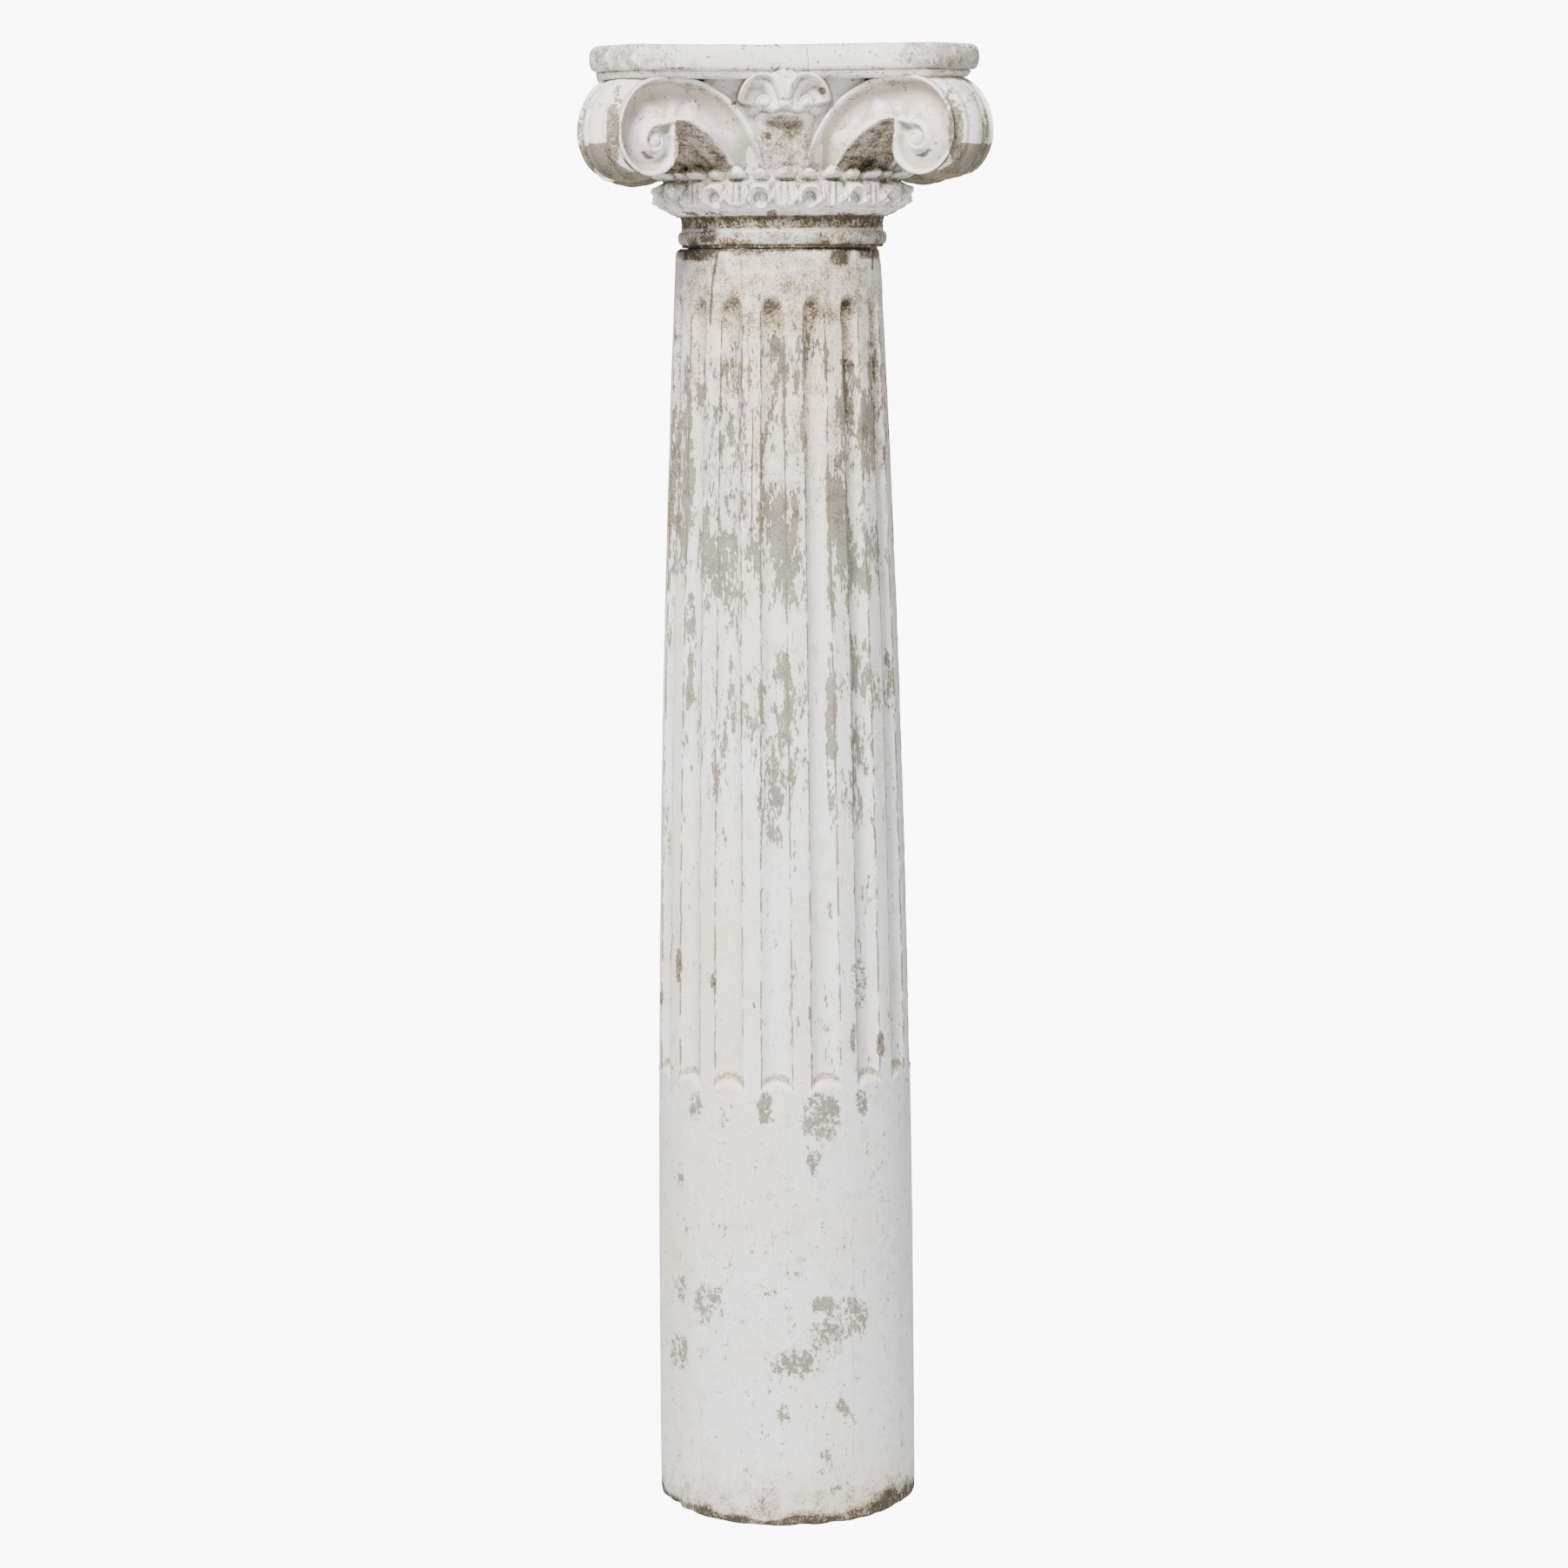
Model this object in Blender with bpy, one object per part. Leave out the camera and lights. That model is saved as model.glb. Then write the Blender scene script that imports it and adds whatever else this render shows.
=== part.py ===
"""Ionic column: a cast-stone shaft with stopped flutes, and an angular Ionic capital that rests on it.

Metres, +Z up. The origin is the centre of the shaft's foot and the front looks along -Y.
An azimuth is measured from the front, and grows towards +X.
"""

import math

import bmesh
import bpy
from mathutils import Matrix, Vector

# Shaft
SHAFT_HEIGHT = 1.5635
FOOT_RADIUS = 0.1610
NECK_RADIUS = 0.1250
ENTASIS_POWER = 2.2
FOOT_BEVEL = 0.003
TOP_BEVEL = 0.002

# Flutes
FLUTE_COUNT = 16
FLUTE_TURN = math.radians(-3.4)
FLUTE_LOW_WIDTH = 0.0380
FLUTE_TOP_WIDTH = 0.0280
FLUTE_DEPTH = 0.0095
FLUTE_LEDGE_HEIGHT = 0.5420
FLUTE_LEDGE_RISE = 0.0075
FLUTE_LEDGE_SLOPE = 0.0030
FLUTE_TOP_CLEARANCE = 0.0545
FLUTE_END_RUN = 0.0120
FLUTE_HOLLOW_POWER = 2.4
FLUTE_SHARES = (-1.0, -0.5, 0.0, 0.5, 1.0)
FLUTED_ROWS = 3

# Losses at the shaft's edges: azimuth and half width in degrees, inward loss, height of the loss
FOOT_LOSSES = ((-60.0, 26.0, 0.006, 0.012), (7.0, 7.0, 0.004, 0.008), (21.0, 7.0, 0.005, 0.010),
               (62.0, 22.0, 0.003, 0.006), (150.0, 14.0, 0.006, 0.012), (-140.0, 9.0, 0.004, 0.008))
TOP_LOSSES = ((80.0, 17.0, 0.012, 0.020), (-38.0, 5.0, 0.003, 0.008), (170.0, 12.0, 0.004, 0.008))
FOOT_LOSS_REACH = max(loss[3] for loss in FOOT_LOSSES)
TOP_LOSS_REACH = max(loss[3] for loss in TOP_LOSSES)

# Capital: where it stands
JOINT_GAP = 0.0003
CAPITAL_HEIGHT = 0.2362
CAPITAL_SHIFT_X = 0.0055
CAPITAL_TURN = math.radians(1.3)

# Astragal and necking, measured from the shaft's neck
ASTRAGAL_PROJECTION = 0.0031
ASTRAGAL_FOOT_INSET = 0.0015
ASTRAGAL_FOOT = 0.0035
ASTRAGAL_HEIGHT = 0.0195
NECKING_INSET = 0.0010
NECKING_TOP = 0.0380

# Ring that carries the leaves, and the bell above it
RING_PROJECTION = 0.0290
RING_TOP = 0.0865
RING_LIP_INSET = 0.0120
RING_OUTLINE = ((0.0090, 0.0070), (0.0010, 0.0170), (0.0, 0.0300))
BELL_WAIST_INSET = 0.0320
BELL_WAIST_RISE = 0.0120
BELL_MIDDLE_INSET = 0.0260
BELL_TOP_INSET = 0.0090
BELL_BITE = 0.0132
CORE_SEGMENTS = 32

# Leaves on the ring: share of the width, projection over the ring, height over the root or under the tip
LEAF_COUNT = 16
LEAF_WIDTH = 0.0340
LEAF_TIP_HEIGHT = 0.0930
LEAF_ROOT_HEIGHT = 0.0490
LEAF_CROWN = 0.0050
LEAF_BACK = 0.0320
LEAF_OUTLINE = ((0.35, -0.0010, 0.0440), (0.80, 0.0015, 0.0190), (1.0, 0.0055, 0.0150),
                (0.95, 0.0065, 0.0060), (0.60, -0.0005, 0.0))

# Rosettes between the leaves
ROSETTE_RADIUS = 0.0125
ROSETTE_DISH_RADIUS = 0.0088
ROSETTE_DISH_FLOOR = 0.0048
ROSETTE_DISH_DEPTH = 0.0035
ROSETTE_HEIGHT = 0.0570
ROSETTE_PROJECTION = 0.0050
ROSETTE_EDGE = 0.0030
ROSETTE_ROOT = 0.0100
ROSETTE_SIDES = 8

# Abacus
ABACUS_HEIGHT = 0.0395
BULLNOSE_HEIGHT = 0.0304
FILLET_HEIGHT = 0.0038
ABACUS_OVERHANG = 0.0404
ABACUS_CORNER_X = 0.1745
ABACUS_CORNER_Y = 0.2310
BULLNOSE_PROJECTION = 0.0090
BULLNOSE_SETBACK = 0.0130
BULLNOSE_SHOULDER = 0.18
CAVETTO_DEPTH = 0.0090
ABACUS_SIDE_STEPS = 7

# Scroll faces of the corner horns
SCROLL_OVERHANG = 0.0026
SCROLL_TIP_OUT_X = 0.0185
SCROLL_TIP_OUT_Y = 0.0122
EYE_INSET = 0.0458
EYE_RADIUS = 0.0095
EYE_SHARE_LIMIT = 0.10
EYE_SINK = 0.0070
EYE_BOSS = 0.0040
SCROLL_RADIUS = 0.0592
SCROLL_TOP_RADIUS = 0.0750
SCROLL_BITE = 0.0033
SCROLL_FIRST_RATIO = 0.68
SCROLL_FIRST_QUARTERS = 2.0
SCROLL_WHORL_RATIO = 0.76
SCROLL_TURN_STEPS = 14
NOTCH_ANGLE = math.radians(315.0)
NOTCH_BUMP = 0.0105
NOTCH_SPREAD = math.radians(24.0)
RIM_WIDTH = 0.0050
RIM_SHARE_LIMIT = 0.25
CHANNEL_DEPTH = 0.0125
CHANNEL_SLOPE = 0.36
CHANNEL_MIDDLE = 0.55

# Arms: edges as shares of the eye's distance and of the bell's height
ARM_FOOT_INSET = 0.0100
ARM_FOOT_RUN = 0.0500
ARM_STEPS = 5
ARM_UPPER = ((0.190, -0.020), (0.208, 0.452), (0.270, 0.620), (0.381, 0.810), (0.565, 0.977))
ARM_LOWER = ((0.402, -0.020), (0.484, 0.244), (0.595, 0.430), (0.770, 0.570))
ARM_CREST = (0.780, 1.012)

# The band between the two scrolls of a horn: share of its width, outward swell
BAND_PROFILE = ((0.12, -0.0035), (0.29, 0.0030), (0.50, -0.0020), (0.71, 0.0030), (0.88, -0.0035))
BAND_FADE_STEPS = 3

# Bud at the middle of each side, set back from the abacus
BUD_SETBACK = 0.0070
BUD_TOP_HALF_WIDTH = 0.0430
BUD_HALF_WIDTH = 0.0560
BUD_FOOT_HALF_WIDTH = 0.0330
BUD_TOP_RISE = 0.0098
BUD_DROP = 0.0440
BUD_LEDGE = 0.0010
BUD_SHOULDER = 0.0180
BUD_RECESS = 0.0090
BUD_SIDE_INSET = 0.0050
BUD_EYE_X = 0.0257
BUD_EYE_RADIUS = 0.0105
BUD_EYE_DROP = 0.0270
BUD_EYE_SIDES = 7
BUD_EYE_PROUD = 0.0030
BUD_RIM_WIDTH = 0.0070
BUD_RIM_ROOT = 0.0140
BUD_RIM_PROUD = 0.0040
BUD_RIM_STEPS = 4
BUD_RIM_START = math.radians(-62.0)
BUD_RIM_TURN = math.radians(158.0)

# Stem under the bud
STEM_FOOT_HALF_WIDTH = 0.0340
STEM_WAIST_HALF_WIDTH = 0.0335
STEM_TOP_HALF_WIDTH = 0.0430
STEM_FOOT_INSET = 0.0140
STEM_WAIST_INSET = 0.0116
STEM_TOP_INSET = 0.0036
STEM_EDGE = 0.0100
STEM_ROOT = 0.0700

QUARTER = math.pi / 2.0
SIDES = 4
ROOT_STEPS = 8
MERGE_DISTANCE = 0.00002
SHARP_ANGLE = math.radians(35.0)

# Sizes that follow from the ones above
CAPITAL_BASE = SHAFT_HEIGHT + JOINT_GAP
ABACUS_FOOT = CAPITAL_HEIGHT - ABACUS_HEIGHT
BELL_HEIGHT = ABACUS_FOOT - RING_TOP
RING_RADIUS = NECK_RADIUS + RING_PROJECTION
SCROLL_MIDDLE = RING_RADIUS + SCROLL_OVERHANG
ABACUS_MIDDLE = SCROLL_MIDDLE + ABACUS_OVERHANG
SCROLL_TIP_X = ABACUS_CORNER_X + SCROLL_TIP_OUT_X
SCROLL_TIP_Y = ABACUS_CORNER_Y + SCROLL_TIP_OUT_Y
EYE_X = SCROLL_TIP_X - EYE_INSET
EYE_HEIGHT = ABACUS_FOOT + SCROLL_BITE - SCROLL_TOP_RADIUS
SCROLL_SWEEP = (SCROLL_TIP_Y - SCROLL_MIDDLE) / SCROLL_TIP_X ** 2
ABACUS_SWEEP = (ABACUS_CORNER_Y - ABACUS_MIDDLE) / ABACUS_CORNER_X ** 2


def smooth_step(value):
    """Ease a value from 0 to 1."""
    value = min(1.0, max(0.0, value))
    return value * value * (3.0 - 2.0 * value)


def material(name, colour, roughness):
    """Make a plain Principled material."""
    made = bpy.data.materials.new(name)
    made.use_nodes = True
    shader = made.node_tree.nodes["Principled BSDF"]
    shader.inputs["Base Color"].default_value = colour
    shader.inputs["Roughness"].default_value = roughness
    shader.inputs["Metallic"].default_value = 0.0
    return made


def mesh_object(name, points, faces, finish=None):
    """Make an object from points and faces, with its faces pointing out."""
    mesh = bpy.data.meshes.new(name)
    mesh.from_pydata([tuple(point) for point in points], [], faces)
    work = bmesh.new()
    work.from_mesh(mesh)
    bmesh.ops.remove_doubles(work, verts=work.verts, dist=MERGE_DISTANCE)
    bmesh.ops.recalc_face_normals(work, faces=work.faces)
    work.to_mesh(mesh)
    work.free()
    made = bpy.data.objects.new(name, mesh)
    bpy.context.scene.collection.objects.link(made)
    if finish:
        mesh.materials.append(finish)
    mesh.shade_smooth()
    mesh.set_sharp_from_angle(angle=SHARP_ANGLE)
    return made


def ring_faces(rows, columns):
    """Faces of a grid whose columns run all the way round."""
    faces = []
    for row in range(rows - 1):
        for column in range(columns):
            beside = (column + 1) % columns
            faces.append((row * columns + column, row * columns + beside,
                          (row + 1) * columns + beside, (row + 1) * columns + column))
    return faces


def capped_tube(points, rows, columns):
    """Faces of a closed tube of rings, with its first and last ring filled."""
    faces = ring_faces(rows, columns)
    faces.append(tuple(range(columns)))
    faces.append(tuple(range((rows - 1) * columns, rows * columns)))
    return points, faces


def around(radius, azimuth, height):
    """Point at a radius, an azimuth from the front and a height."""
    return Vector((radius * math.sin(azimuth), -radius * math.cos(azimuth), height))


def spline_point(points, share):
    """Point on a smooth curve through a few points, at a share of its way."""
    spans = len(points) - 1
    place = min(max(share, 0.0), 1.0) * spans
    index = min(int(place), spans - 1)
    step = place - index
    before = points[max(index - 1, 0)]
    start = points[index]
    end = points[index + 1]
    after = points[min(index + 2, spans)]
    result = []
    for axis in range(2):
        middle = 2.0 * start[axis]
        first = (end[axis] - before[axis]) * step
        second = (2.0 * before[axis] - 5.0 * start[axis] + 4.0 * end[axis] - after[axis]) * step ** 2
        third = (3.0 * start[axis] - before[axis] - 3.0 * end[axis] + after[axis]) * step ** 3
        result.append((middle + first + second + third) / 2.0)
    return result


def shaft_radius(height):
    """Radius of the shaft without its flutes."""
    share = height / SHAFT_HEIGHT
    return FOOT_RADIUS - (FOOT_RADIUS - NECK_RADIUS) * share ** ENTASIS_POWER


def flute_width(height):
    """Width of a flute at a height."""
    share = (height - FLUTE_LEDGE_HEIGHT) / (SHAFT_HEIGHT - FLUTE_LEDGE_HEIGHT)
    narrowing = smooth_step(share) * (FLUTE_LOW_WIDTH - FLUTE_TOP_WIDTH)
    return FLUTE_LOW_WIDTH - narrowing


def edge_loss(azimuth, edge_distance, losses):
    """How far a broken edge lies inside the sound one."""
    loss = 0.0
    for middle, half_width, depth, reach in losses:
        turn = math.radians(middle) - azimuth
        away = abs(math.degrees(math.atan2(math.sin(turn), math.cos(turn))))
        across = smooth_step(1.0 - away / half_width)
        loss = max(loss, depth * across * max(0.0, 1.0 - edge_distance / reach))
    return loss


def shaft_rows():
    """Rows of the shaft: height for a share of a flute's half width, share of the hollow, and bevel."""
    flute_top = SHAFT_HEIGHT - FLUTE_TOP_CLEARANCE
    spring = flute_top - FLUTE_TOP_WIDTH / 2.0

    def level(height):
        return lambda share: height

    def ledge(share):
        return FLUTE_LEDGE_HEIGHT + FLUTE_LEDGE_RISE * (1.0 - share * share)

    def ledge_back(share):
        return ledge(share) + FLUTE_LEDGE_SLOPE

    def end(share):
        return spring + (flute_top - spring) * math.sqrt(max(0.0, 1.0 - share * share))

    def end_back(share):
        return end(share) - FLUTE_END_RUN

    rows = [(level(0.0), 0.0, FOOT_BEVEL), (level(FOOT_BEVEL), 0.0, 0.0),
            (level(FOOT_LOSS_REACH), 0.0, 0.0), (level(FLUTE_LEDGE_HEIGHT / 2.0), 0.0, 0.0),
            (ledge, 0.0, 0.0), (ledge_back, 1.0, 0.0)]
    for step in range(1, FLUTED_ROWS + 1):
        share = step / (FLUTED_ROWS + 1.0)
        rows.append((level(FLUTE_LEDGE_HEIGHT + (spring - FLUTE_LEDGE_HEIGHT) * share), 1.0, 0.0))
    rows += [(end_back, 1.0, 0.0), (end, 0.0, 0.0), (level(SHAFT_HEIGHT - TOP_LOSS_REACH), 0.0, 0.0),
             (level(SHAFT_HEIGHT - TOP_BEVEL), 0.0, 0.0), (level(SHAFT_HEIGHT), 0.0, TOP_BEVEL)]
    return rows


def build_shaft(finish):
    """The fluted shaft as one closed grid of rings with flat ends."""
    pitch = 2.0 * math.pi / FLUTE_COUNT
    rows = shaft_rows()
    points = []
    for height_at, hollow, bevel in rows:
        for flute in range(FLUTE_COUNT):
            for share in FLUTE_SHARES:
                height = height_at(share)
                radius = shaft_radius(height)
                azimuth = FLUTE_TURN + flute * pitch + share * flute_width(height) / (2.0 * radius)
                depth = FLUTE_DEPTH * (1.0 - abs(share) ** FLUTE_HOLLOW_POWER) * hollow
                loss = edge_loss(azimuth, height, FOOT_LOSSES)
                loss = max(loss, edge_loss(azimuth, SHAFT_HEIGHT - height, TOP_LOSSES))
                points.append(around(radius - depth - bevel - loss, azimuth, height))
    return mesh_object("shaft", *capped_tube(points, len(rows), FLUTE_COUNT * len(FLUTE_SHARES)), finish)


def core_profile():
    """Radius and height of the turned core, from its foot to inside the abacus."""
    foot_radius = NECK_RADIUS - ASTRAGAL_FOOT_INSET
    necking = NECK_RADIUS - NECKING_INSET
    profile = [(foot_radius, 0.0), (foot_radius + ASTRAGAL_FOOT_INSET / 2.0, ASTRAGAL_FOOT),
               (NECK_RADIUS + ASTRAGAL_PROJECTION, (ASTRAGAL_FOOT + ASTRAGAL_HEIGHT) / 2.0),
               (necking, ASTRAGAL_HEIGHT), (necking + NECKING_INSET, NECKING_TOP)]
    profile += [(RING_RADIUS - inset, NECKING_TOP + rise) for inset, rise in RING_OUTLINE]
    profile += [(RING_RADIUS - RING_LIP_INSET, RING_TOP),
                (RING_RADIUS - BELL_WAIST_INSET, RING_TOP + BELL_WAIST_RISE),
                (RING_RADIUS - BELL_MIDDLE_INSET, RING_TOP + BELL_HEIGHT / 2.0),
                (RING_RADIUS - BELL_TOP_INSET, ABACUS_FOOT + BELL_BITE)]
    return profile


def build_core(finish):
    """Astragal, necking, ring and bell, turned in one."""
    profile = core_profile()
    points = []
    for radius, height in profile:
        for step in range(CORE_SEGMENTS):
            points.append(around(radius, 2.0 * math.pi * step / CORE_SEGMENTS, height))
    return mesh_object("capital", *capped_tube(points, len(profile), CORE_SEGMENTS), finish)


def abacus_outline(inset, height):
    """Outline of the abacus, drawn in from its widest by an inset: four hollow sides and cut corners."""
    middle = ABACUS_MIDDLE - inset
    reach = ABACUS_CORNER_X + ABACUS_CORNER_Y - inset * math.sqrt(2.0)
    half = (-1.0 + math.sqrt(1.0 + 4.0 * ABACUS_SWEEP * (reach - middle))) / (2.0 * ABACUS_SWEEP)
    points = []
    for side in range(SIDES):
        turn = Matrix.Rotation(side * QUARTER, 3, "Z")
        for step in range(ABACUS_SIDE_STEPS + 1):
            across = half * (2.0 * step / ABACUS_SIDE_STEPS - 1.0)
            points.append(turn @ Vector((across, -middle - ABACUS_SWEEP * across ** 2, height)))
    return points


def build_abacus():
    """The moulded top plate: cavetto, fillet and bullnose."""
    nose_foot = CAPITAL_HEIGHT - BULLNOSE_HEIGHT
    fillet_foot = nose_foot - FILLET_HEIGHT
    rows = [(BULLNOSE_PROJECTION + CAVETTO_DEPTH, ABACUS_FOOT),
            (BULLNOSE_PROJECTION + CAVETTO_DEPTH / math.sqrt(2.0), (ABACUS_FOOT + fillet_foot) / 2.0),
            (BULLNOSE_PROJECTION, fillet_foot), (BULLNOSE_PROJECTION, nose_foot),
            (BULLNOSE_PROJECTION / 4.0, nose_foot + BULLNOSE_HEIGHT * BULLNOSE_SHOULDER),
            (0.0, nose_foot + BULLNOSE_HEIGHT / 2.0),
            (BULLNOSE_SETBACK / 4.0, nose_foot + BULLNOSE_HEIGHT * (1.0 - BULLNOSE_SHOULDER)),
            (BULLNOSE_SETBACK, CAPITAL_HEIGHT)]
    points = []
    for inset, height in rows:
        points += abacus_outline(inset, height)
    return mesh_object("abacus", *capped_tube(points, len(rows), SIDES * (ABACUS_SIDE_STEPS + 1)))


def sweep_length(across):
    """Length along a scroll face's plan curve, from the middle of the side."""
    slope = 2.0 * SCROLL_SWEEP * across
    return across / 2.0 * math.sqrt(1.0 + slope * slope) + math.asinh(slope) / (4.0 * SCROLL_SWEEP)


def across_at(length):
    """Distance from the middle of the side at a length along the plan curve."""
    across = length
    for _ in range(ROOT_STEPS):
        slope = 2.0 * SCROLL_SWEEP * across
        across -= (sweep_length(across) - length) / math.sqrt(1.0 + slope * slope)
    return across


def face_point(length, height, lift):
    """Point on a scroll face, lifted off it, at a length from the middle and a height.

    Low down the face turns into the round of the ring, where the arms spring.
    """
    across = across_at(length)
    slope = 2.0 * SCROLL_SWEEP * across
    swept = SCROLL_MIDDLE + SCROLL_SWEEP * across ** 2
    turned = math.sqrt(max((RING_RADIUS - ARM_FOOT_INSET) ** 2 - across ** 2, 0.0))
    share = smooth_step((height - RING_TOP) / ARM_FOOT_RUN)
    share = max(share, smooth_step((across - EYE_X / 2.0) / (EYE_X / 4.0)))
    depth = turned + (swept - turned) * share
    normal = Vector((-slope, -1.0, 0.0)).normalized()
    return Vector((across, -depth, height)) + normal * lift


def scroll_radius(angle):
    """Radius of the spiral at an angle from its top, growing outwards and down."""
    quarters = angle / QUARTER - 1.0
    if quarters < 0.0:
        return SCROLL_RADIUS * (SCROLL_TOP_RADIUS / SCROLL_RADIUS) ** -quarters
    first = SCROLL_FIRST_RATIO ** min(quarters, SCROLL_FIRST_QUARTERS)
    whorl = SCROLL_WHORL_RATIO ** max(quarters - SCROLL_FIRST_QUARTERS, 0.0)
    bump = NOTCH_BUMP * max(0.0, 1.0 - abs(angle - NOTCH_ANGLE) / NOTCH_SPREAD)
    return SCROLL_RADIUS * first * whorl + bump


def scroll_lift(angle):
    """How far the spiral stands off the face: it sinks towards the eye, as the bottom of a dish does."""
    return -EYE_SINK * smooth_step((angle - NOTCH_ANGLE) / (scroll_end() - NOTCH_ANGLE))


def scroll_end():
    """Angle at which the spiral meets the eye."""
    inner = SCROLL_RADIUS * SCROLL_FIRST_RATIO ** SCROLL_FIRST_QUARTERS
    whorls = math.log(EYE_RADIUS / inner) / math.log(SCROLL_WHORL_RATIO)
    return QUARTER * (1.0 + SCROLL_FIRST_QUARTERS + whorls)


def face_shares(shares):
    """Length and height on a scroll face for shares of the eye's distance and of the bell's height."""
    return sweep_length(shares[0] * EYE_X), RING_TOP + shares[1] * BELL_HEIGHT


def scroll_stations():
    """Stations along the rim: outer edge, inner edge and lift. Inner edges are filled in later turns."""
    upper = [face_shares(shares) for shares in ARM_UPPER]
    lower = [face_shares(shares) for shares in ARM_LOWER]
    stations = []
    for step in range(ARM_STEPS):
        share = step / ARM_STEPS
        stations.append((spline_point(upper, share), spline_point(lower, share), 0.0))
    eye_length = sweep_length(EYE_X)
    step_angle = 2.0 * math.pi / SCROLL_TURN_STEPS
    start = NOTCH_ANGLE - 2.0 * math.pi
    count = round((scroll_end() - start) / step_angle)
    for step in range(count + 1):
        angle = start + step * step_angle
        if step == 0:
            outer = upper[-1]
        elif angle < -step_angle / 10.0:
            outer = face_shares(ARM_CREST)
        else:
            radius = scroll_radius(angle)
            outer = (eye_length + radius * math.sin(angle), EYE_HEIGHT + radius * math.cos(angle))
        stations.append((outer, None, scroll_lift(angle)))
    return stations


def build_sheet():
    """Points and faces of one scroll face, and the loop of points round its silhouette."""
    stations = scroll_stations()
    eye = (sweep_length(EYE_X), EYE_HEIGHT)
    points = []
    grid = []
    inner_edge = []
    for outer, inner, lift in stations:
        points.append(face_point(outer[0], outer[1], lift))
        grid.append([len(points) - 1])
    points.append(face_point(eye[0], eye[1], EYE_BOSS - EYE_SINK))
    centre = len(points) - 1
    for index, (outer, inner, lift) in enumerate(stations):
        later = index + SCROLL_TURN_STEPS
        if index < ARM_STEPS:
            points.append(face_point(inner[0], inner[1], lift))
            last = len(points) - 1
            inner_edge.append(last)
            target = inner
        elif later < len(stations):
            last = grid[later][0]
            target = stations[later][0]
        else:
            last = centre
            target = eye
        run = (target[0] - outer[0], target[1] - outer[1])
        width = math.hypot(*run)
        if last == centre:
            foot = max(EYE_SHARE_LIMIT, 1.0 - EYE_RADIUS / width)
            section = ((foot, EYE_BOSS), ((foot + 1.0) / 2.0, -EYE_BOSS / 2.0))
        else:
            rim = min(RIM_WIDTH / width, RIM_SHARE_LIMIT)
            floor = rim + (1.0 - rim) * CHANNEL_MIDDLE
            section = ((rim, 0.0), (floor, min(CHANNEL_DEPTH, CHANNEL_SLOPE * width)))
        for share, drop in section:
            points.append(face_point(outer[0] + run[0] * share, outer[1] + run[1] * share, lift - drop))
            grid[index].append(len(points) - 1)
        grid[index].append(last)
    faces = []
    for near, far in zip(grid, grid[1:]):
        for column in range(len(near) - 1):
            corners = (near[column], near[column + 1], far[column + 1], far[column])
            faces.append(tuple(dict.fromkeys(corners)))
    faces.append(tuple(grid[-1]))
    outline = [row[0] for row in grid[:ARM_STEPS + SCROLL_TURN_STEPS + 1]]
    outline += reversed(inner_edge)
    outline += [grid[0][2], grid[0][1]]
    return points, faces, outline


def build_horn(corner):
    """A corner horn: two scroll faces, mirrored across the diagonal, and the band between them."""
    points, faces, outline = build_sheet()
    count = len(points)
    size = len(outline)
    points += [Vector((-point.y, -point.x, point.z)) for point in points]
    faces += [tuple(index + count for index in reversed(face)) for face in faces]
    middles = []
    for index in outline:
        middle = (points[index] + points[index + count]) / 2.0
        middles.append(Vector((math.hypot(middle.x, middle.y), middle.z)))
    rows = [outline]
    for share, swell in BAND_PROFILE:
        row = []
        for step, index in enumerate(outline):
            along = middles[(step + 1) % size] - middles[step - 1]
            outward = Vector((-along.y, along.x)).normalized() * swell * band_weight(step)
            spot = points[index].lerp(points[index + count], share)
            out = outward.x / math.sqrt(2.0)
            row.append(len(points))
            points.append(spot + Vector((out, -out, outward.y)))
        rows.append(row)
    rows.append([index + count for index in outline])
    for near, far in zip(rows, rows[1:]):
        for step in range(size):
            beside = (step + 1) % size
            faces.append((near[step], near[beside], far[beside], far[step]))
    turn = Matrix.Rotation(corner * QUARTER, 3, "Z")
    return mesh_object(f"horn_{corner + 1}", [turn @ point for point in points], faces)


def band_weight(step):
    """Weight of the band's rolls along the silhouette: none on the arms, full round the volute."""
    first = ARM_STEPS + 1
    last = ARM_STEPS + SCROLL_TURN_STEPS - 1
    opening = smooth_step((step - first) / BAND_FADE_STEPS)
    return opening * smooth_step((last - step) / BAND_FADE_STEPS)


def build_leaf(index):
    """A water leaf that stands against the ring and curls over at its tip."""
    middle = index * 2.0 * math.pi / LEAF_COUNT
    half = LEAF_WIDTH / 2.0 / RING_RADIUS
    section = ((-1.0, LEAF_BACK), (-1.0, LEAF_CROWN), (0.0, 0.0), (1.0, LEAF_CROWN), (1.0, LEAF_BACK))
    reach = LEAF_TIP_HEIGHT - LEAF_ROOT_HEIGHT
    points = []
    for spread, projection, below_tip in LEAF_OUTLINE:
        height = LEAF_TIP_HEIGHT - min(below_tip, reach)
        for share, drop in section:
            radius = RING_RADIUS + projection - drop
            points.append(around(radius, middle + share * half * spread, height))
    return mesh_object(f"leaf_{index + 1}", *capped_tube(points, len(LEAF_OUTLINE), len(section)))


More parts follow.
